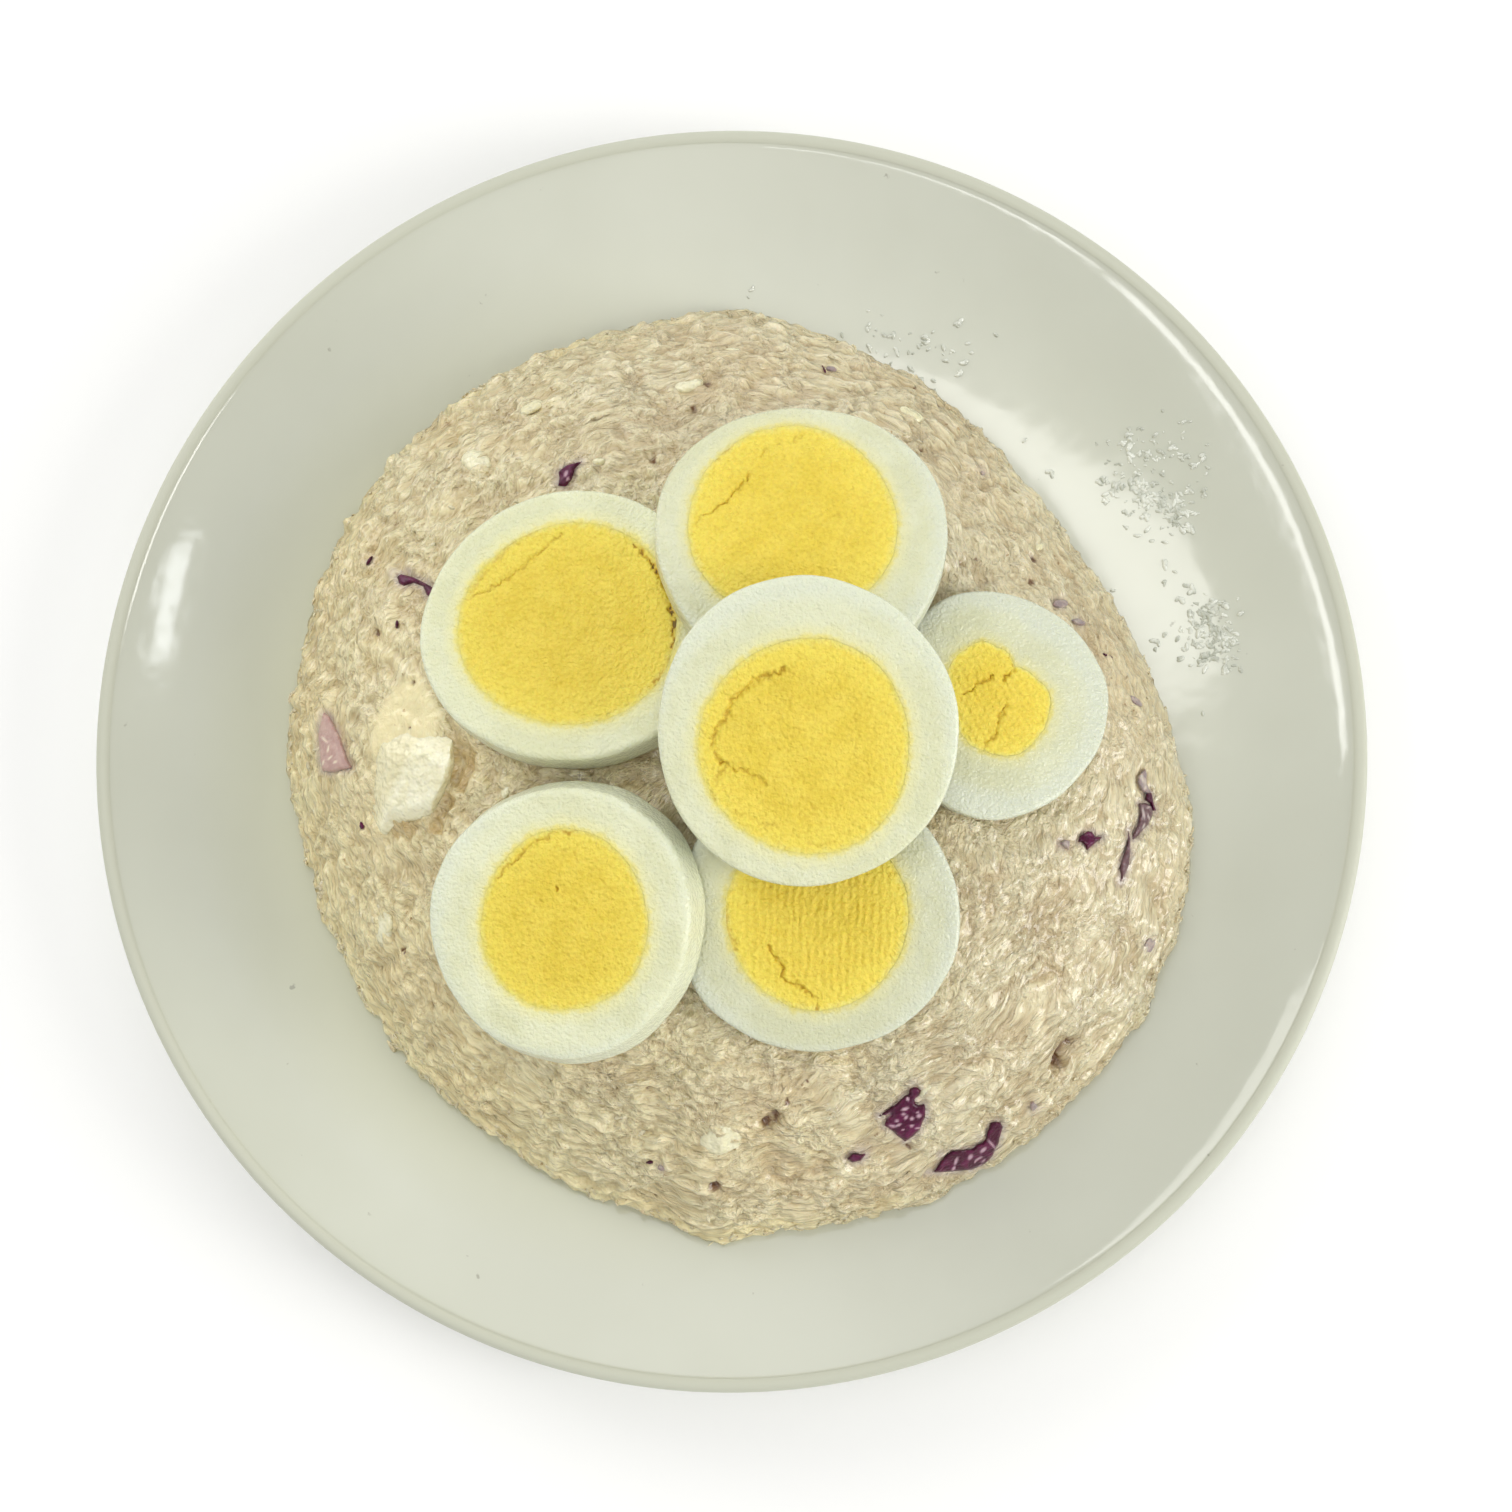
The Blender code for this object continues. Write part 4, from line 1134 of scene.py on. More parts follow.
class Slice:
    """One slice: from plan view and height in the slice to the place in the dish."""

    def __init__(self, name, plan):
        self.name, self.plan, self.thick = name, plan, plan["thick"]
        self.place = np.array(plan["place"])
        self.yolk = self.place + plan["yolk_place"]
        tilt, direction = (math.radians(value) for value in plan["lean"])
        self.fall = math.tan(tilt) * np.array((math.cos(direction), math.sin(direction)))
        self.hang = np.array([bend / half**2 for bend, half in zip(plan["bend"], plan["half"])])
        self.level = 0.0
        foot = self.at(self.yolk[None], 0.0)[0]
        solid = points_of(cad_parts["egg_yolk_" + name])
        closest = np.argmin(np.hypot(*(solid[:, :2] - foot[:2]).T))
        self.level = solid[closest, 2] - foot[2]

    def under(self, plan):
        """Height of the lower face over plan places."""
        off = plan - self.place
        return self.level - off @ self.fall - off**2 @ self.hang

    def normal(self, plan):
        """Directions square to the slice."""
        off = plan - self.place
        across = np.column_stack((self.fall + 2 * self.hang * off, np.ones(len(plan))))
        return across / np.linalg.norm(across, axis=1)[:, None]

    def at(self, plan, height, spread=0.0):
        """Points over plan places of the upper face, at a height above the lower face."""
        normal = self.normal(plan)
        foot = plan - normal[:, :2] * self.thick
        points = np.column_stack((foot, self.under(foot))) + normal * np.reshape(height, (-1, 1))
        out = plan - self.place
        out = out / (np.linalg.norm(out, axis=1)[:, None] + TINY) * np.reshape(spread, (-1, 1))
        drop = -(out * normal[:, :2]).sum(1) / normal[:, 2]
        return points + np.column_stack((out, drop))


LAID = {name: Slice(name, plan) for name, plan in SLICES.items()}
print("levels:", {name: round(float(piece.level), 1) for name, piece in LAID.items()})

# %% Outline that white and yolk share
SMALL_YOLK = (     # degrees and radius of the outline of the small yolk on the right, which has corners
    (2, 7.9), (15, 7.6), (29, 6.8), (48, 6.3), (66, 5.8), (77, 7.4), (92, 8.1), (105, 9.2), (120, 9.2),
    (135, 9.2), (149, 8.9), (164, 7.8), (196, 6.8), (218, 7.7), (238, 8.2), (253, 8.2), (270, 8.5),
    (287, 8.6), (305, 8.2), (325, 7.9), (343, 7.9))


def seam(piece, angle):
    """Radius of the seam between yolk and white, a little uneven, as yolk never sets quite round."""
    radius = oval(angle, piece.plan["yolk_half"], piece.plan["yolk_lobes"])
    if piece.name == "right":
        turns, reaches = zip(*SMALL_YOLK)
        radius = np.interp(np.degrees(angle), turns, reaches, period=360.0)
    around = flat3(circle(angle) * radius[:, None])
    return radius + 0.16 * soft(around, 2.2, piece.level) + 0.10 * soft(around, 0.9, piece.level)


# %% [markdown]
# ### The whites
# A ring with a rounded edge is a torus whose section has been changed from a circle to a slab, so
# each white starts as a torus, and its points are moved to the slab's section. Boiled white isn't
# flat: it gets shallow waves, and its outer skin the small dents of the shell.

# %% Section of a white
EDGE, DROP = 0.75, 0.8     # how far the edge's rounding reaches in and down


def white_section(thick):
    """Way out from the seam, inset from the widest outline, and height, for points round a section."""
    top = [(share, EDGE, thick) for share in (0.0, 0.03, 0.08, 0.16, 0.28, 0.42, 0.58, 0.74, 0.88)]
    quarter = np.radians(np.linspace(0, 90, 6))
    shoulder = [(1.0, EDGE * (1 - math.sin(a)), thick - DROP * (1 - math.cos(a))) for a in quarter]
    wall = [(1.0, 0.0, height) for height in np.linspace(thick - DROP, DROP, 6)[1:-1]]
    below = [(1.0, inset, thick - height) for _, inset, height in reversed(shoulder)]
    under = [(share, EDGE, 0.0) for share in (0.75, 0.5, 0.25, 0.0)]
    inner = [(0.0, EDGE, height) for height in np.linspace(0.0, thick, 5)[1:-1]]
    return np.array(top + shoulder + wall + below + under + inner)


print("points of a white's section:", len(white_section(5.0)))

# %% Shape a white
SEGMENTS = 200     # sections round a white
CEILING = cad_box[1][2] / MM - 0.005     # no wave rises above the solids' box
SLICE_SHADE = {"bottom": 1.0, "right": 1.0, "top": 0.7, "centre": 0.3}     # painted shade: how much greyer each white is painted, for the less light it gets


def waves(points):
    """Shallow unevenness that the white and the rim of its yolk share."""
    return layered(points, (0.16, 5.5, 4.0), (0.05, 1.7, 6.0))


def settle(piece, points):
    """Moves the points of an egg piece to their places, none of them above the solids' box."""
    points[:, 2] = np.minimum(points[:, 2], CEILING)
    move_points(piece, points)
    point_outwards(piece)


def make_white(piece):
    section = white_section(piece.thick)
    bpy.ops.object.select_all(action="DESELECT")
    bpy.ops.mesh.primitive_torus_add(major_segments=SEGMENTS, minor_segments=len(section))
    white = rename("white_" + piece.name)
    angle = np.repeat(np.arange(SEGMENTS) * math.tau / SEGMENTS, len(section))
    share, inset, height = np.tile(section, (SEGMENTS, 1)).T
    inner = piece.yolk + (seam(piece, angle) - 0.02)[:, None] * circle(angle)
    wide = oval(angle, piece.plan["half"], piece.plan["lobes"])
    wide = wide + 0.25 * soft(flat3(circle(angle) * 20.0), 7.0, piece.level)
    outer = piece.place + (wide - inset)[:, None] * circle(angle)
    plan = inner + share[:, None] * (outer - inner)
    spread = piece.plan["flare"] * (1 - height / piece.thick) * share
    points = piece.at(plan, height, spread)
    points += (waves(points) * np.clip(height / piece.thick, 0.2, 1.0))[:, None] * piece.normal(plan)
    settle(white, points)
    paint(white, "way_out", np.linalg.norm(plan - inner, axis=1) / 8.0)
    # painted shade: greyer on the slices that get less light
    paint(white, "dull", np.full(len(plan), SLICE_SHADE.get(piece.name, 0.0)))
    return white


# %% [markdown]
# ### The yolks
# Boiled yolk is a dry crumb: matte, finely grained, cracked where the knife dragged it, and with a
# step where a flake of it broke away. Cracks are lines drawn on the slice and pressed into the
# net, in plan millimetres from the slice's middle.

# %% Cracks and steps of each yolk
CRACKS = {     # depth, width and line of each
    "upper_left": (
        (0.55, 0.20, ((-16.0, 4.1), (-13.1, 5.3), (-10.5, 6.6), (-7.5, 8.7), (-4.1, 11.6), (-1.6, 14.2))),
        (0.40, 0.25, ((-14.9, 5.4), (-12.8, 8.4), (-11.1, 10.2), (-9.1, 12.7), (-5.1, 15.0))),
        (1.50, 0.24, ((9.7, 12.1), (11.5, 10.1), (13.5, 7.5), (15.0, 3.8), (15.8, 0.2), (15.7, -3.8))),
        (0.90, 0.22, ((16.1, -3.8), (15.3, -5.9), (12.6, -10.2))),
    ),
    "centre": (
        (0.80, 0.26, ((-2.8, 8.7), (-4.9, 8.1), (-6.9, 7.4), (-8.4, 6.5), (-9.6, 5.5), (-10.8, 4.4),
                      (-11.5, 2.6), (-12.5, 0.9), (-13.6, -0.8), (-13.4, -2.9), (-12.3, -4.3))),
        (0.45, 0.22, ((-12.3, -4.3), (-11.4, -4.9), (-8.7, -5.8), (-6.7, -6.7), (-5.8, -7.5))),
        (0.45, 0.25, ((-11.4, -4.9), (-12.9, -6.4), (-13.6, -8.1), (-13.2, -10.1))),
        (0.35, 0.25, ((-10.5, -11.6), (-8.8, -11.9), (-7.0, -12.8), (-4.3, -13.3))),
        (0.30, 0.22, ((-0.8, -9.3), (1.0, -11.0))),
        (0.30, 0.25, ((-0.2, -15.7), (1.5, -16.2), (3.9, -15.5))),
    ),
    "top": (
        (0.60, 0.20, ((-15.4, 1.5), (-14.6, 3.1), (-13.4, 3.6), (-12.1, 5.0), (-10.6, 6.1), (-9.2, 8.1),
                      (-7.7, 9.7))),
        (0.60, 0.22, ((-13.5, 11.7), (-12.2, 13.1), (-11.0, 14.1), (-10.0, 15.6))),
        (0.45, 0.22, ((-13.6, 9.6), (-12.9, 10.9))),
        (0.45, 0.20, ((-6.2, 12.6), (-5.0, 13.9))),
        (0.45, 0.20, ((-3.7, 14.9), (-3.2, 16.0))),
        (0.40, 0.20, ((-1.1, 15.6), (0.4, 16.6))),
        (0.25, 0.20, ((3.9, 2.8), (5.4, 3.5))),
    ),
    "bottom": (
        (0.80, 0.22, ((-7.1, -4.7), (-6.7, -6.1), (-5.9, -6.9), (-5.1, -8.0), (-5.3, -9.7), (-4.0, -10.1),
                      (-2.4, -10.6), (-1.2, -11.4), (-0.2, -12.5), (0.0, -14.0))),
        (0.60, 0.25, ((-13.2, 1.0), (-13.4, -0.8), (-12.9, -3.0), (-12.0, -5.2))),
    ),
    "right": (
        (0.70, 0.20, ((-5.4, 1.0), (-4.2, 2.0), (-3.1, 2.7), (-1.0, 3.8))),
        (0.70, 0.22, ((0.5, 3.4), (1.6, 4.2), (2.2, 4.9), (2.2, 5.9))),
        (0.65, 0.22, ((0.9, -0.5), (0.3, -1.8), (-0.3, -3.3), (-0.5, -4.4), (-1.0, -5.5), (-1.9, -6.0),
                      (-2.5, -6.5), (-2.7, -7.1))),
    ),
    "lower_left": (
        (0.70, 0.20, ((-9.4, 6.2), (-7.8, 7.7), (-5.5, 9.9), (-2.8, 11.7), (-0.1, 12.8), (2.5, 12.9))),
        (0.90, 0.20, ((-0.4, 5.2), (-0.1, 4.3))),
    ),
}
RIDGES = {     # height and distance of the knife's ridges in mm, and their direction in degrees
    "bottom": (0.11, 1.15, 88.0), "right": (0.08, 1.2, 120.0), "lower_left": (0.035, 1.2, 60.0)}
print("cracks:", {name: len(lines) for name, lines in CRACKS.items()})

# %% Relief of the crumb
def ridged(points, wave, direction):
    """Wavy ridges, a wave apart, such as a blade leaves, running along a direction."""
    turn = math.radians(direction)
    across = points[:, 0] * math.sin(turn) - points[:, 1] * math.cos(turn)
    across = across + 0.5 * soft(points, 3.2, 8.0) + 0.2 * soft(points, 1.2, 5.0)
    return np.sin(across * math.tau / wave) * (0.7 + 0.5 * soft(points, 2.5, 1.0))


def yolk_relief(piece, plan):
    """Height of the crumb above the slice's plane, and how deep in a crack each point is, which the material
    paints as shade.
    """
    flat = flat3(plan - piece.place)
    height = layered(flat, (0.07, 2.8, piece.level), (0.07, 0.8, 3.0))
    cracked = np.zeros(len(plan))
    jagged = flat + 0.55 * flat3(np.column_stack((soft(flat, 1.2, 2.0), soft(flat, 1.2, 6.0))))
    jagged += 0.40 * flat3(np.column_stack((soft(flat, 0.55, 3.0), soft(flat, 0.55, 5.0))))
    for depth, width, line in CRACKS[piece.name]:
        close = np.exp(-(near_line(jagged, line) / width) ** 2)
        height -= 0.7 * depth * close
        # the crack mask, which the yolk's material paints ochre to dark brown: painted shade
        cracked = np.maximum(cracked, close * depth * 1.1)
    if piece.name in RIDGES:
        tall, wave, direction = RIDGES[piece.name]
        height += tall * ridged(flat, wave, direction)
    if piece.name == "centre":
        height -= broken_step(jagged, piece)
    return height, cracked


def broken_step(flat, piece):
    """The hollow inside the arc where the middle of the top yolk broke away."""
    away, angle = polar(flat[:, :2], piece.plan["yolk_place"])
    reach, arc = polar(np.array(CRACKS["centre"][0][2]), piece.plan["yolk_place"])
    angle, arc = np.mod(angle, math.tau), np.mod(arc, math.tau)
    order = np.argsort(arc)
    inwards = np.interp(angle, arc[order], reach[order]) - away
    ends = np.minimum(angle - arc.min(), arc.max() - angle) / math.radians(18)
    return 0.85 * np.clip(ends, 0, 1) * np.clip(inwards / 0.3, 0, 1) * np.exp(-np.maximum(inwards, 0) / 3.0)


# %% Shape a yolk
YOLK_CUTS, SMALL_CUTS = (8, 7), (5, 6)     # the small yolk on the right needs a smaller net


def make_yolk(piece):
    cuts = SMALL_CUTS if piece.name == "right" else YOLK_CUTS
    yolk, share, turn, ring = make_net("yolk_" + piece.name, cuts, skirts=5)
    down = np.choose(ring, (0.0, 0.01, 0.10, piece.thick * 0.5, piece.thick - 0.2, piece.thick))
    inset = np.choose(ring, (0.10 * share**8, 0.02, -0.02, -0.02, 0.0, 0.3))
    plan = piece.yolk + (share * seam(piece, turn) - inset)[:, None] * circle(turn)
    height, cracked = yolk_relief(piece, plan)
    height = height * (1 - share**8) + waves(piece.at(plan, piece.thick))
    height = height * (ring < 3) - down
    settle(yolk, piece.at(plan, piece.thick + height))
    paint(yolk, "way_out", np.where(ring > 0, 1.0, share))
    paint(yolk, "crack", cracked)
    return yolk


print("rings in the net of a yolk:", math.prod(cut + 1 for cut in YOLK_CUTS))

# %% [markdown]
# ### Finish of the egg
# White: moist and slightly see-through, a greenish cream that turns yellower towards the yolk, and painted
# greyer on some slices: painted shade.
# Yolk: a matte, warm yellow, paler and brighter at its rim, painted ochre to dark brown in the cracks as
# painted shade.

# %% White and yolk finishes
SEAM = (0.87, 0.76, 0.20)     # where yolk and white meet


def ragged(tree, name, amount):
    """A painted number with its even contours made ragged by a little noise."""
    return calculate(tree, "MULTIPLY_ADD", mottled(tree, 700.0, 0.25, 0.75), amount, painted(tree, name))


def make_white_finish():
    material, tree = new_material(
        "boiled_white", Roughness=0.26, Subsurface_Weight=0.35, Subsurface_Scale=0.0015,
        Subsurface_Radius=(1.0, 0.9, 0.6), Coat_Weight=0.3, Coat_Roughness=0.18)
    way_out = ragged(tree, "way_out", 0.07)
    colour = blend(tree, mottled(tree, 120.0, 0.4, 0.62), (0.735, 0.745, 0.49), (0.785, 0.80, 0.56))
    for start, end, tone in (
            (0.55, 0.95, (0.765, 0.80, 0.63)), (0.40, 0.10, (0.82, 0.80, 0.45)), (0.17, 0.02, SEAM)):
        colour = blend(tree, window(tree, way_out, start, end), colour, tone)
    # painted shade: the whites that get less light are painted greyer
    colour = multiplied(tree, painted(tree, "dull"), colour, (0.885, 0.885, 0.91))
    return shade(material, Base_Color=colour, Normal=grainy(tree, scale=800.0, fineness=2.8, distance=0.30))


def make_yolk_finish():
    material, tree = new_material(
        "boiled_yolk", Roughness=0.60, Subsurface_Weight=0.25, Subsurface_Scale=0.001,
        Subsurface_Radius=(1.0, 0.6, 0.15))
    way_out = ragged(tree, "way_out", 0.05)
    # painted shade: the cracks are painted ochre, and the deepest of them dark brown
    patchy_crack_shade = times(tree, painted(tree, "crack"), mottled(tree, 700.0, 0.25, 0.60))
    colour = blend(tree, mottled(tree, 260.0, 0.3, 0.7), (0.81, 0.625, 0.060), (0.86, 0.68, 0.085))
    for mask, tone in (
            (window(tree, way_out, 0.60, 0.98), (0.88, 0.72, 0.10)),
            (window(tree, way_out, 0.95, 1.05), SEAM), (patchy_crack_shade, (0.52, 0.295, 0.006)),
            (window(tree, patchy_crack_shade, 0.85, 1.25), (0.19, 0.115, 0.014))):
        colour = blend(tree, mask, colour, tone)
    colour = multiplied(tree, mottled(tree, 1700.0, 0.40, 0.66), colour, (0.93, 0.90, 0.80))
    return shade(material, Base_Color=colour, Normal=grainy(tree, scale=750.0, fineness=2.4, distance=0.42))


WHITE, YOLK = make_white_finish(), make_yolk_finish()
for name, piece in LAID.items():
    dress(make_white(piece), WHITE, "egg_white", "egg_white_" + name)
    dress(make_yolk(piece), YOLK, "egg_yolk", "egg_yolk_" + name, angle=60)

# %% [markdown]
# ## Pieces sunk in the heap
# A sunk piece is a flat patch with a traced outline. A grid is added over it, the faces outside
# the outline are deleted, the ragged border is pulled on to the line, and the patch is extruded
# downwards. Its top then follows the surface of the heap, with a rounded edge that dives into it.

# %% Height of the heap's surface
def surface_height(plan):
    """Height of the heap before its relief. The nearest place stands in where a ray misses."""
    heights = []
    for x, y in plan.tolist():
        hit = SURFACE.ray_cast(Vector((x, y, SKY)), DOWN)[0]
        heights.append(hit.z if hit else SURFACE.find_nearest(Vector((x, y, 12.0)))[0].z)
    return np.array(heights)


print("height of the heap over its middle in mm:", surface_height(HEAP[None]).round(1))

# %% Cut a patch from a grid
def cut_patch(name, outline, cell):
    """A grid cut to an outline and extruded. Returns it, the plan of its points, and its lower half."""
    low, high = np.min(outline, axis=0) - cell, np.max(outline, axis=0) + cell
    cells = np.ceil((high - low) / cell).astype(int)
    bpy.ops.object.select_all(action="DESELECT")
    bpy.ops.mesh.primitive_grid_add(x_subdivisions=int(cells[0]), y_subdivisions=int(cells[1]), size=MM)
    patch = rename(name)
    plan = (low + high) / 2 + points_of(patch)[:, :2] * cells * cell
    middles = np.array([plan[list(face.vertices)].mean(0) for face in patch.data.polygons])
    bpy.ops.object.mode_set(mode="EDIT")
    bpy.ops.mesh.select_all(action="DESELECT")
    bpy.ops.mesh.select_mode(type="FACE")
    bpy.ops.object.mode_set(mode="OBJECT")
    patch.data.polygons.foreach_set("select", ~inside(middles, outline))
    move_points(patch, flat3(plan))
    bpy.ops.object.mode_set(mode="EDIT")
    bpy.ops.mesh.delete(type="FACE")
    bpy.ops.mesh.select_mode(type="VERT")
    bpy.ops.mesh.select_non_manifold()
    bpy.ops.object.mode_set(mode="OBJECT")
    border = np.array([vert.select for vert in patch.data.vertices])
    points = points_of(patch)
    points[border, :2] = nearest(points[border], closed(outline))[0]
    move_points(patch, points)
    bpy.ops.object.mode_set(mode="EDIT")
    bpy.ops.mesh.select_all(action="SELECT")
    bpy.ops.mesh.extrude_region_move(TRANSFORM_OT_translate={"value": (0, 0, -MM)})
    bpy.ops.object.mode_set(mode="OBJECT")
    point_outwards(patch)
    points = points_of(patch)
    return patch, points[:, :2], points[:, 2] < -0.5


# %% Sink a patch
def sink_patch(name, outline, cell, crown, thick, edge=0.5, dive=0.5):
    """A flat piece in the surface: its top stands a crown above it, and its rim dives below it."""
    patch, plan, below = cut_patch(name, outline, cell)
    inwards = np.clip(near_line(plan, closed(outline)) / edge, 0.0, 1.0)
    rounded = np.sqrt(1.0 - (1.0 - inwards) ** 2)
    top = surface_height(plan) + (crown + dive) * rounded - dive + 0.10 * soft(flat3(plan), 1.6, 3.0)
    move_points(patch, np.column_stack((plan, np.where(below, top - thick, top))))
    return patch, plan


# %% [markdown]
# ### Red onion
# The skin side of a red onion is a deep wine purple and very glossy. Bits of the salad's cream
# stick to it as short pale flecks, which are placed one by one as the dish has them. The thinner
# pieces show their lilac flesh, and the one at the left is nearly all pale pink.

# %% Flecks on the onions
FLECKS = (     # x, y, half its length, half its width, direction in degrees
    (27.2, -57.9, 0.55, 0.24, 15), (27.0, -58.7, 0.3, 0.2, 0), (27.4, -59.2, 0.35, 0.22, 50),
    (28.3, -59.4, 0.3, 0.25, 0), (29.4, -59.0, 0.35, 0.3, 0), (26.0, -59.7, 0.3, 0.16, 0),
    (25.3, -60.5, 0.5, 0.18, -15), (26.2, -60.4, 0.5, 0.18, 20), (28.3, -60.5, 0.3, 0.2, 0),
    (27.0, -61.1, 0.2, 0.15, 0), (27.6, -56.4, 0.3, 0.2, -60), (29.2, -58.4, 0.25, 0.12, 10),
    (24.7, -58.9, 0.45, 0.3, 45), (29.4, -60.9, 0.5, 0.12, 0), (35.6, -66.4, 0.65, 0.24, 75),
    (35.3, -67.6, 0.4, 0.22, 60), (37.9, -65.8, 0.45, 0.32, 60), (39.9, -64.7, 0.55, 0.27, 40),
    (39.3, -66.1, 0.6, 0.16, 30), (38.8, -66.6, 0.3, 0.15, 60), (40.1, -66.5, 0.35, 0.15, 45),
    (41.2, -63.8, 1.1, 0.13, -47), (39.7, -67.3, 0.3, 0.12, 20), (-63.7, -0.6, 0.8, 0.2, -40),
    (-62.9, -2.2, 0.55, 0.18, 80), (-62.5, -3.6, 0.5, 0.15, 30), (-61.5, -4.4, 0.4, 0.2, 10),
    (-63.9, -4.2, 0.4, 0.2, 70), (-24.7, 39.5, 0.5, 0.25, 75), (-24.4, 38.6, 0.3, 0.2, 60),
    (64.9, -6.9, 0.9, 0.22, 100), (65.4, -8.6, 0.4, 0.2, 60), (64.9, -12.6, 0.9, 0.2, 100),
    (65.8, -13.1, 0.6, 0.15, 110), (64.9, -14.6, 0.5, 0.14, 60), (65.9, -11.6, 0.35, 0.14, 20),
)


def turned(turn):
    """Unit vectors along and across a direction, one below the other."""
    return np.array(((math.cos(turn), math.sin(turn)), (-math.sin(turn), math.cos(turn))))


def fleck_mask(plan):
    """1 on a fleck of cream, fading to 0 round it."""
    mask = np.zeros(len(plan))
    for x, y, long, wide, direction in FLECKS:
        along, across = turned(math.radians(direction))
        off = plan - (x, y)
        away = np.hypot(off @ along / long, off @ across / wide)
        mask = np.maximum(mask, np.clip(1.8 - 1.3 * away, 0.0, 1.0))
    return mask


print("flecks:", len(FLECKS))

# %% Finish of the onions
def make_onion_finish(name, deep, light, fleck):
    material, tree = new_material(
        name, Roughness=0.30, Subsurface_Weight=0.15, Subsurface_Scale=0.0008, Specular_IOR_Level=0.25,
        Coat_Weight=0.15, Coat_Roughness=0.12)
    skin = blend(tree, mottled(tree, 650.0, 0.38, 0.66), deep, light)
    skin = blend(tree, painted(tree, "fleck"), skin, fleck)
    return shade(material, Base_Color=skin, Normal=grainy(tree, scale=900.0, fineness=2.0, distance=0.10))


WINE = make_onion_finish("red_onion_skin", (0.062, 0.004, 0.026), (0.125, 0.012, 0.060), (0.52, 0.33, 0.40))
SMEARED = make_onion_finish(
    "onion_in_cream", (0.30, 0.235, 0.24), (0.50, 0.42, 0.37), (0.60, 0.52, 0.45))
LILAC = make_onion_finish(
    "red_onion_flesh", (0.125, 0.062, 0.072), (0.20, 0.125, 0.135), (0.50, 0.42, 0.40))
PINK = make_onion_finish("pale_onion_flesh", (0.52, 0.335, 0.30), (0.60, 0.42, 0.37), (0.82, 0.72, 0.58))
ONION_FINISH = {"left": PINK, "right": LILAC, "right_low": LILAC}

# %% Sink the onions
for name, outline in ONIONS.items():
    onion, plan = sink_patch("onion_piece_" + name, outline, cell=0.22, crown=0.18, thick=2.0)
    paint(onion, "fleck", fleck_mask(plan))
    slot = "pale_onion" if name == "left" else "red_onion"
    dress(onion, ONION_FINISH.get(name, WINE), slot, "onion_" + name, angle=50)

# %% [markdown]
# ### The chunk of egg
# To the left of the slices a lump of boiled white stands out of the paste: a broad facet that
# shines, a greyer one that falls away to the left, and a steep broken edge on the right. Its
# height is the lowest of four ramps that rise from its four sides.

# %% Shape the chunk
def ramp(plan, line, width, tall):
    """Height over a slope that rises from a line to its full height over a width."""
    return tall * np.clip(near_line(plan, line) / width, 0.0, 1.0)


FACET = np.array(((-54.2, -15.0), (-46.2, -0.5)))     # the edge between the chunk's two faces


def make_chunk():
    chunk, plan, below = cut_patch("chunk_of_egg", CHUNK, cell=0.3)
    left, bottom, right, top = CHUNK[0:6], CHUNK[5:11], CHUNK[10:15], [*CHUNK[14:], CHUNK[0]]
    rise = np.minimum.reduce((
        ramp(plan, left, 3.4, 2.0), ramp(plan, bottom, 2.0, 1.9), ramp(plan, right, 0.7, 1.7),
        ramp(plan, top, 5.0, 2.0)))
    flat = flat3(plan)
    rise += layered(flat, (0.22, 3.0, 2.0), (0.16, 1.0, 4.0)) * np.clip(rise, 0, 1)
    height = surface_height(plan) - 0.25 + rise
    move_points(chunk, np.column_stack((plan, np.where(below, height - 3.0 - rise, height))))
    paint(chunk, "way_out", np.ones(len(plan)))
    # the cut face is clean and white; the side left of it, the top and the rim have cream on them
    along = FACET[1] - FACET[0]
    across = (plan - FACET[0]) @ np.array((along[1], -along[0])) / np.linalg.norm(along)
    clean = np.clip(across / 1.2 + 0.3, 0.0, 1.0) * ramp(plan, closed(CHUNK), 0.9, 1.0)
    paint(chunk, "smear", 1.0 - clean * np.clip(near_line(plan, top) / 3.0, 0.2, 1.0))
    return chunk


def make_wet_white():
    """The white of the loose bits: wetter than a slice, with a sparkle of cream on it."""
    material, tree = new_material(
        "wet_egg_white", Roughness=0.20, Subsurface_Weight=0.3, Subsurface_Scale=0.001,
        Subsurface_Radius=(1.0, 0.9, 0.6), Coat_Weight=0.7, Coat_Roughness=0.15)
    pale = blend(tree, mottled(tree, 300.0), (0.88, 0.84, 0.59), (0.93, 0.90, 0.68))
    colour = blend(tree, window(tree, painted(tree, "way_out"), 0.45, 0.1), pale, (0.84, 0.74, 0.38))
    smeared = times(tree, painted(tree, "smear"), mottled(tree, 350.0, 0.1, 0.5))
    colour = blend(tree, smeared, colour, (0.82, 0.765, 0.50))
    return shade(material, Base_Color=colour, Normal=grainy(tree, scale=420.0, fineness=2.5, distance=0.6))


WET_WHITE = make_wet_white()
dress(make_chunk(), WET_WHITE, "egg_white", "egg_chunk", angle=60)

# %% [markdown]
# ### Small bits
# Smaller bits of egg and onion are scattered through the paste. Each kind is one piece, joined
# from patches. Most outlines are ovals with an uneven edge, drawn from a fixed seed.

# %% Ovals, and joining patches into one piece
OVAL_POINTS = 14


def uneven_oval(x, y, long, wide, direction, seed):
    """An oval of a half length and half width in mm, with an uneven edge."""
    turn = np.arange(OVAL_POINTS) * math.tau / OVAL_POINTS
    wobble = 1.0 + 0.22 * soft(np.column_stack((circle(turn), turn * 0 + seed)), 0.8)
    points = circle(turn) * (long, wide) * wobble[:, None]
    return [tuple(point) for point in points @ turned(math.radians(direction)) + (x, y)]


def join(name, pieces):
    bpy.ops.object.select_all(action="DESELECT")
    for piece in pieces:
        piece.select_set(True)
    bpy.context.view_layer.objects.active = pieces[0]
    bpy.ops.object.join()
    return rename(name)


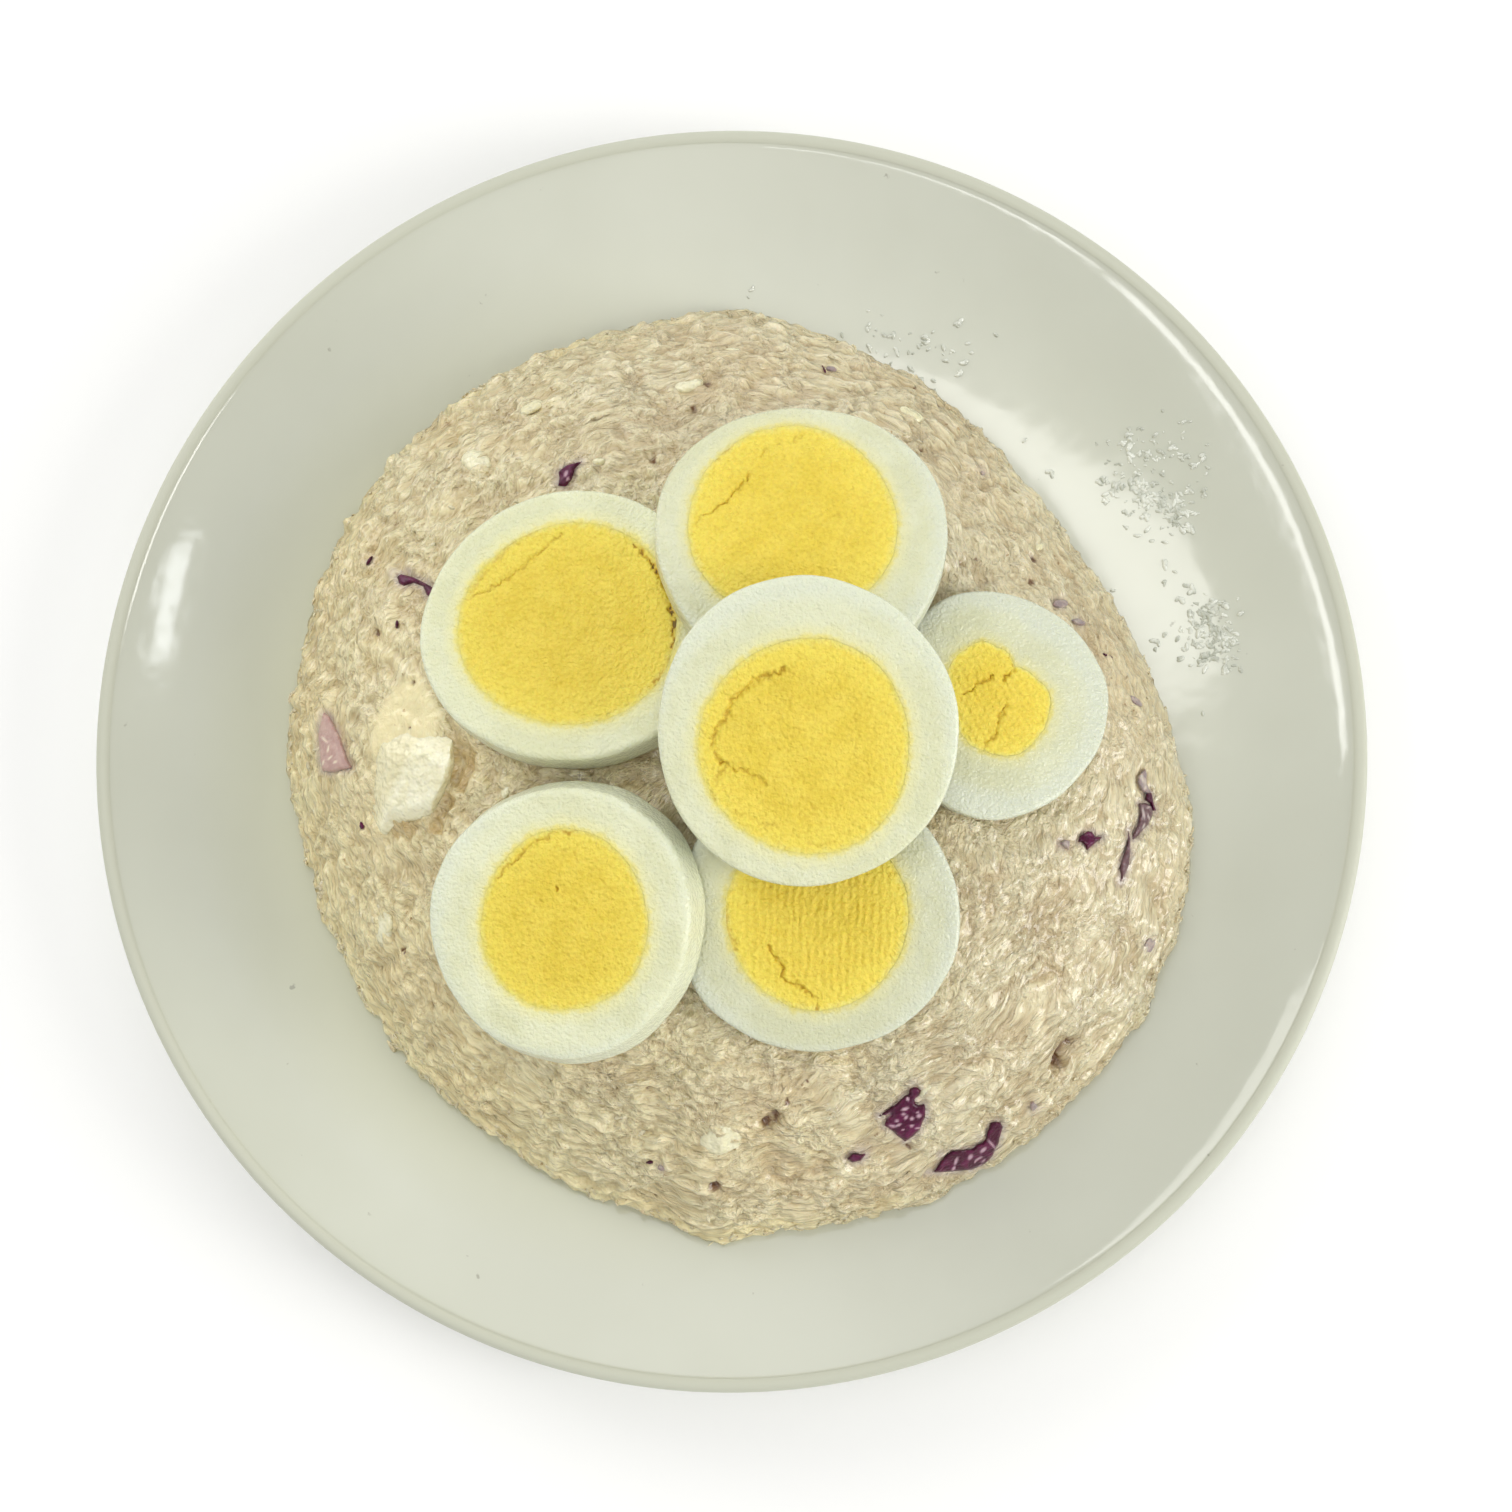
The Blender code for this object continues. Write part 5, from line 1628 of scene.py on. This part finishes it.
EGG_BITS = (     # x, y, half length, half width, direction, 1 for white and 0 for yellowish
    (-0.5, -62.6, 3.4, 2.3, 10, 0.45), (-39.6, 43.0, 2.9, 2.1, 150, 0.8), (-53.5, -30.2, 2.9, 1.7, 80, 0.9),
    (-6.1, 55.2, 2.4, 1.6, 10, 0.8), (29.7, 52.0, 2.3, 1.2, 160, 0.35), (0.8, 62.1, 1.5, 0.9, 0, 0.3),
    (-12.9, 61.0, 1.3, 0.8, 30, 0.3), (30.6, -55.6, 1.5, 1.1, 60, 1.0), (50.9, -56.6, 2.2, 1.1, 40, 0.2),
    (-23.6, -5.9, 1.6, 1.0, 20, 0.8), (-19.4, 41.4, 1.2, 0.8, 0, 0.7), (-31.4, 52.8, 2.2, 1.3, 30, 0.1),
    (50.1, 30.9, 1.2, 0.8, 40, 0.2), (51.1, 26.3, 1.0, 0.7, 100, 0.2), (-63.3, -26.9, 1.8, 1.2, 110, 0.2),
    (-32.6, -10.4, 1.5, 0.9, 70, 0.8),
)
ONION_BITS = (     # x, y, half length, half width, direction
    (41.1, 42.8, 0.9, 0.5, 60), (52.4, 20.4, 1.5, 0.8, 20), (55.5, 17.7, 1.2, 0.6, 0),
    (64.8, 5.6, 1.3, 0.7, 150), (16.7, 59.7, 1.0, 0.6, 0), (66.3, -32.9, 1.4, 1.0, 60),
    (47.8, -58.1, 1.0, 0.7, 120), (-9.9, -67.1, 0.8, 0.5, 0),
)
DARK_FLECKS = (
    (-11.7, -66.3, 0.7, 0.35, 10), (-57.3, 28.3, 0.9, 0.35, 60), (-56.8, -14.6, 0.5, 0.8, 10),
    (39.6, 42.5, 0.9, 0.18, 70), (60.2, 12.6, 1.1, 0.35, 170), (15.5, 59.5, 0.9, 0.18, 110),
    (34.6, -61.0, 0.6, 0.3, 80), (-51.3, 16.7, 0.3, 0.7, 0),
)
print("small bits:", len(EGG_BITS) + len(ONION_BITS) + len(DARK_FLECKS))

# %% Sink the small bits
bits = []
for seed, (x, y, long, wide, direction, white) in enumerate(EGG_BITS):
    outline = uneven_oval(x, y, long, wide, direction, seed)
    bit, plan = sink_patch("bit", outline, cell=0.3, crown=0.14, thick=1.2, edge=1.6, dive=0.6)
    paint(bit, "way_out", np.full(len(plan), white))
    paint(bit, "smear", 1.0 - ramp(plan, closed(outline), 1.4, 0.8 * white))
    bits.append(bit)
dress(join("egg_bits", bits), WET_WHITE, "egg_white", "salad", angle=60)

for name, finish, shapes, ovals in (
        ("onion_bits", SMEARED, LILAC_BITS, ONION_BITS), ("dark_onion_bits", WINE, DARK_BITS, DARK_FLECKS)):
    bits = []
    for outline in (*shapes, *(uneven_oval(*oval_plan, seed) for seed, oval_plan in enumerate(ovals))):
        bit, plan = sink_patch("bit", outline, cell=0.16, crown=0.28, thick=0.9, edge=0.3, dive=0.3)
        paint(bit, "fleck", fleck_mask(plan))
        bits.append(bit)
    dress(join(name, bits), finish, "red_onion", "salad", angle=60)

# %% [markdown]
# ### Flakes and fibres that stick out
# Along the foot a few flakes stand away from the heap, and single fibres of tuna, thin and pale,
# lie on the plate or across the onions. They are the same flake shapes, stretched, and each has
# its own place, height over the plate, length, width, and direction.

# %% Loose flakes and fibres
LOOSE = (     # x, y, height of its middle over what is below, length, width, direction
    (-2.1, -79.2, 0.5, 4.2, 0.16, 40), (-1.4, -78.3, 0.7, 2.6, 0.9, 20), (-4.6, -77.6, 0.7, 2.4, 0.8, 160),
    (52.4, -58.9, 0.8, 2.2, 0.9, 60), (54.9, -55.3, 1.0, 2.4, 1.3, 50), (55.4, -54.6, 0.9, 1.4, 0.9, 120),
    (73.6, -5.3, 0.8, 1.7, 0.7, 10), (45.0, -62.0, 0.9, 3.0, 0.14, 25), (46.6, -60.6, 1.2, 2.4, 0.14, 80),
    (41.6, -64.1, 2.6, 3.4, 0.14, -50), (42.4, -62.6, 2.8, 2.6, 0.12, 15), (39.9, -62.9, 3.2, 2.2, 0.12, 40),
    (35.0, -69.8, 0.8, 2.6, 0.14, 60), (37.2, -69.4, 0.7, 2.2, 0.5, 20), (30.0, -70.6, 0.7, 2.2, 0.7, 10),
    (60.8, -49.8, 0.9, 1.6, 0.6, 70), (70.0, -28.0, 0.8, 1.5, 0.6, 80), (42.7, 50.9, 0.8, 2.2, 0.7, 150),
    (-66.4, -15.0, 0.8, 1.6, 0.8, 95), (-63.4, -33.0, 0.7, 2.2, 0.9, 110),
    (-54.6, -48.8, 0.6, 2.4, 0.9, 125), (-38.0, -62.2, 0.6, 2.6, 0.9, 145),
    (-25.2, -69.2, 0.6, 2.2, 0.8, 155),
)


def lay_loose_flakes():
    parts = []
    for number, (x, y, height, length, width, direction) in enumerate(LOOSE):
        shape, faces = FLAKES[number % len(FLAKES)]
        axes = np.eye(3)
        axes[:2, :2] = turned(math.radians(direction))
        axes[0, 2] = 0.12
        ground = float(plate_top(math.hypot(x, y)))
        parts.append(((shape * (length, width, min(width, 0.6))) @ axes + (x, y, ground + height), faces))
    piece = build_mesh("loose_flakes_and_fibres", parts)
    points = points_of(piece)
    paint(piece, "tone", np.full(len(points), 0.85))
    paint(piece, "cream", np.full(len(points), 0.4))
    paint(piece, "stroke", points)
    return piece


dress(lay_loose_flakes(), FLAKE_FINISH, "tuna_salad", "salad")

# %% [markdown]
# ### Drops on the plate
# Steam has left small drops on the glaze to the upper right, in two thick swarms and a few single
# ones. A drop is a flattened half of a small sphere, and wider drops are two or three that ran
# together. A drop is opaque: its colour is painted, the glaze's own, darker and lighter in patches,
# for the light that clear water bends and mirrors, and a glossy coat gives it a sharp glint.

# %% Where the drops are
SINGLE_DROPS = (
    (49.1, 51.3), (53.5, 45.5), (62.3, 40.5), (65.1, 38.8), (65.4, 36.3), (67.1, 34.8), (68.8, 35.6),
    (69.6, 33.8), (71.8, 33.4), (71.7, 30.0), (73.2, 28.5), (71.5, 26.6), (75.0, 26.1), (75.6, 25.0),
    (74.3, 23.6), (75.4, 21.5), (71.4, 18.1), (73.5, 17.5), (74.9, 16.2), (70.0, 15.7), (73.7, 14.3),
    (75.5, 13.0), (69.5, 17.3), (77.2, 5.0), (63.3, 25.9), (18.7, 69.6), (23.2, 71.2), (23.4, 67.2),
    (26.9, 69.2), (33.9, 69.6), (32.5, 68.0), (37.2, 66.4), (35.9, 64.9), (39.7, 67.5), (40.3, 66.0),
    (44.3, 68.6), (30.1, 63.9), (34.0, 61.7), (3.0, 76.0), (3.8, 77.5), (28.0, 66.3), (38.5, 63.0),
)
SWARMS = (     # x, y, spread and number of drops
    (63.9, 43.4, 1.3, 16), (67.6, 42.1, 1.5, 24), (70.0, 40.2, 1.5, 24), (72.7, 37.9, 1.3, 20),
    (74.3, 36.8, 1.2, 14), (65.5, 49.9, 1.6, 10), (68.6, 47.6, 1.8, 18), (71.2, 51.1, 2.0, 9),
    (75.9, 46.6, 1.8, 9), (75.0, 39.8, 1.5, 12), (76.6, 19.5, 1.4, 18), (79.2, 17.6, 1.4, 20),
    (80.8, 16.4, 1.3, 16), (77.6, 21.5, 1.3, 14), (78.2, 14.5, 1.3, 16), (80.6, 21.3, 1.4, 10),
    (81.4, 12.5, 1.2, 8), (34.5, 66.5, 3.4, 12), (24.0, 69.0, 2.6, 7),
)
print("single drops:", len(SINGLE_DROPS), "swarms:", len(SWARMS))

# %% Scatter the drops
def make_drop():
    """Points and faces of a low dome, 1 in radius and 1 high, with its underside just below zero."""
    bpy.ops.object.select_all(action="DESELECT")
    bpy.ops.mesh.primitive_ico_sphere_add(subdivisions=2, radius=MM)
    points, faces = take_apart(rename("drop"))
    points[:, 2] = np.where(points[:, 2] > 0, points[:, 2], points[:, 2] * 0.2)
    return points, faces


def scatter_drops():
    chance = np.random.default_rng(5)
    shape, faces = make_drop()
    places = [(x, y, chance.uniform(0.32, 0.5)) for x, y in SINGLE_DROPS]
    for x, y, spread, count in SWARMS:
        for _ in range(int(1.6 * count)):
            off = chance.normal(0.0, spread, 2)
            places.append((x + off[0], y + off[1], min(0.18 + chance.exponential(0.13), 0.5)))
    parts = []
    for x, y, size in places:
        for _ in range(chance.integers(1, 4)):
            axes = turned(chance.uniform(0, math.tau))
            long, wide = size * chance.uniform(0.9, 1.6), size * chance.uniform(0.55, 0.9)
            plan = (shape[:, :2] * (long, wide)) @ axes + (x, y)
            height = plate_top(polar(plan)[0]) + shape[:, 2] * size * 0.7
            parts.append((np.column_stack((plan, height)), faces))
            x, y = (x, y) + size * chance.uniform(0.7, 1.2) * axes[0]
    return build_mesh("drops_on_the_plate", parts)


def make_painted_drop_finish():
    material, tree = new_material(
        "drops", Roughness=0.04, Specular_IOR_Level=0.9, Coat_Weight=1.0, Coat_Roughness=0.02)
    # painted reflection and shade: the glaze's colour, darker and lighter in patches
    body = blend(tree, mottled(tree, 500.0), (0.46, 0.48, 0.40), (0.76, 0.78, 0.70))
    return shade(material, Base_Color=body)


dress(scatter_drops(), make_painted_drop_finish(), "plate_glaze", "plate")
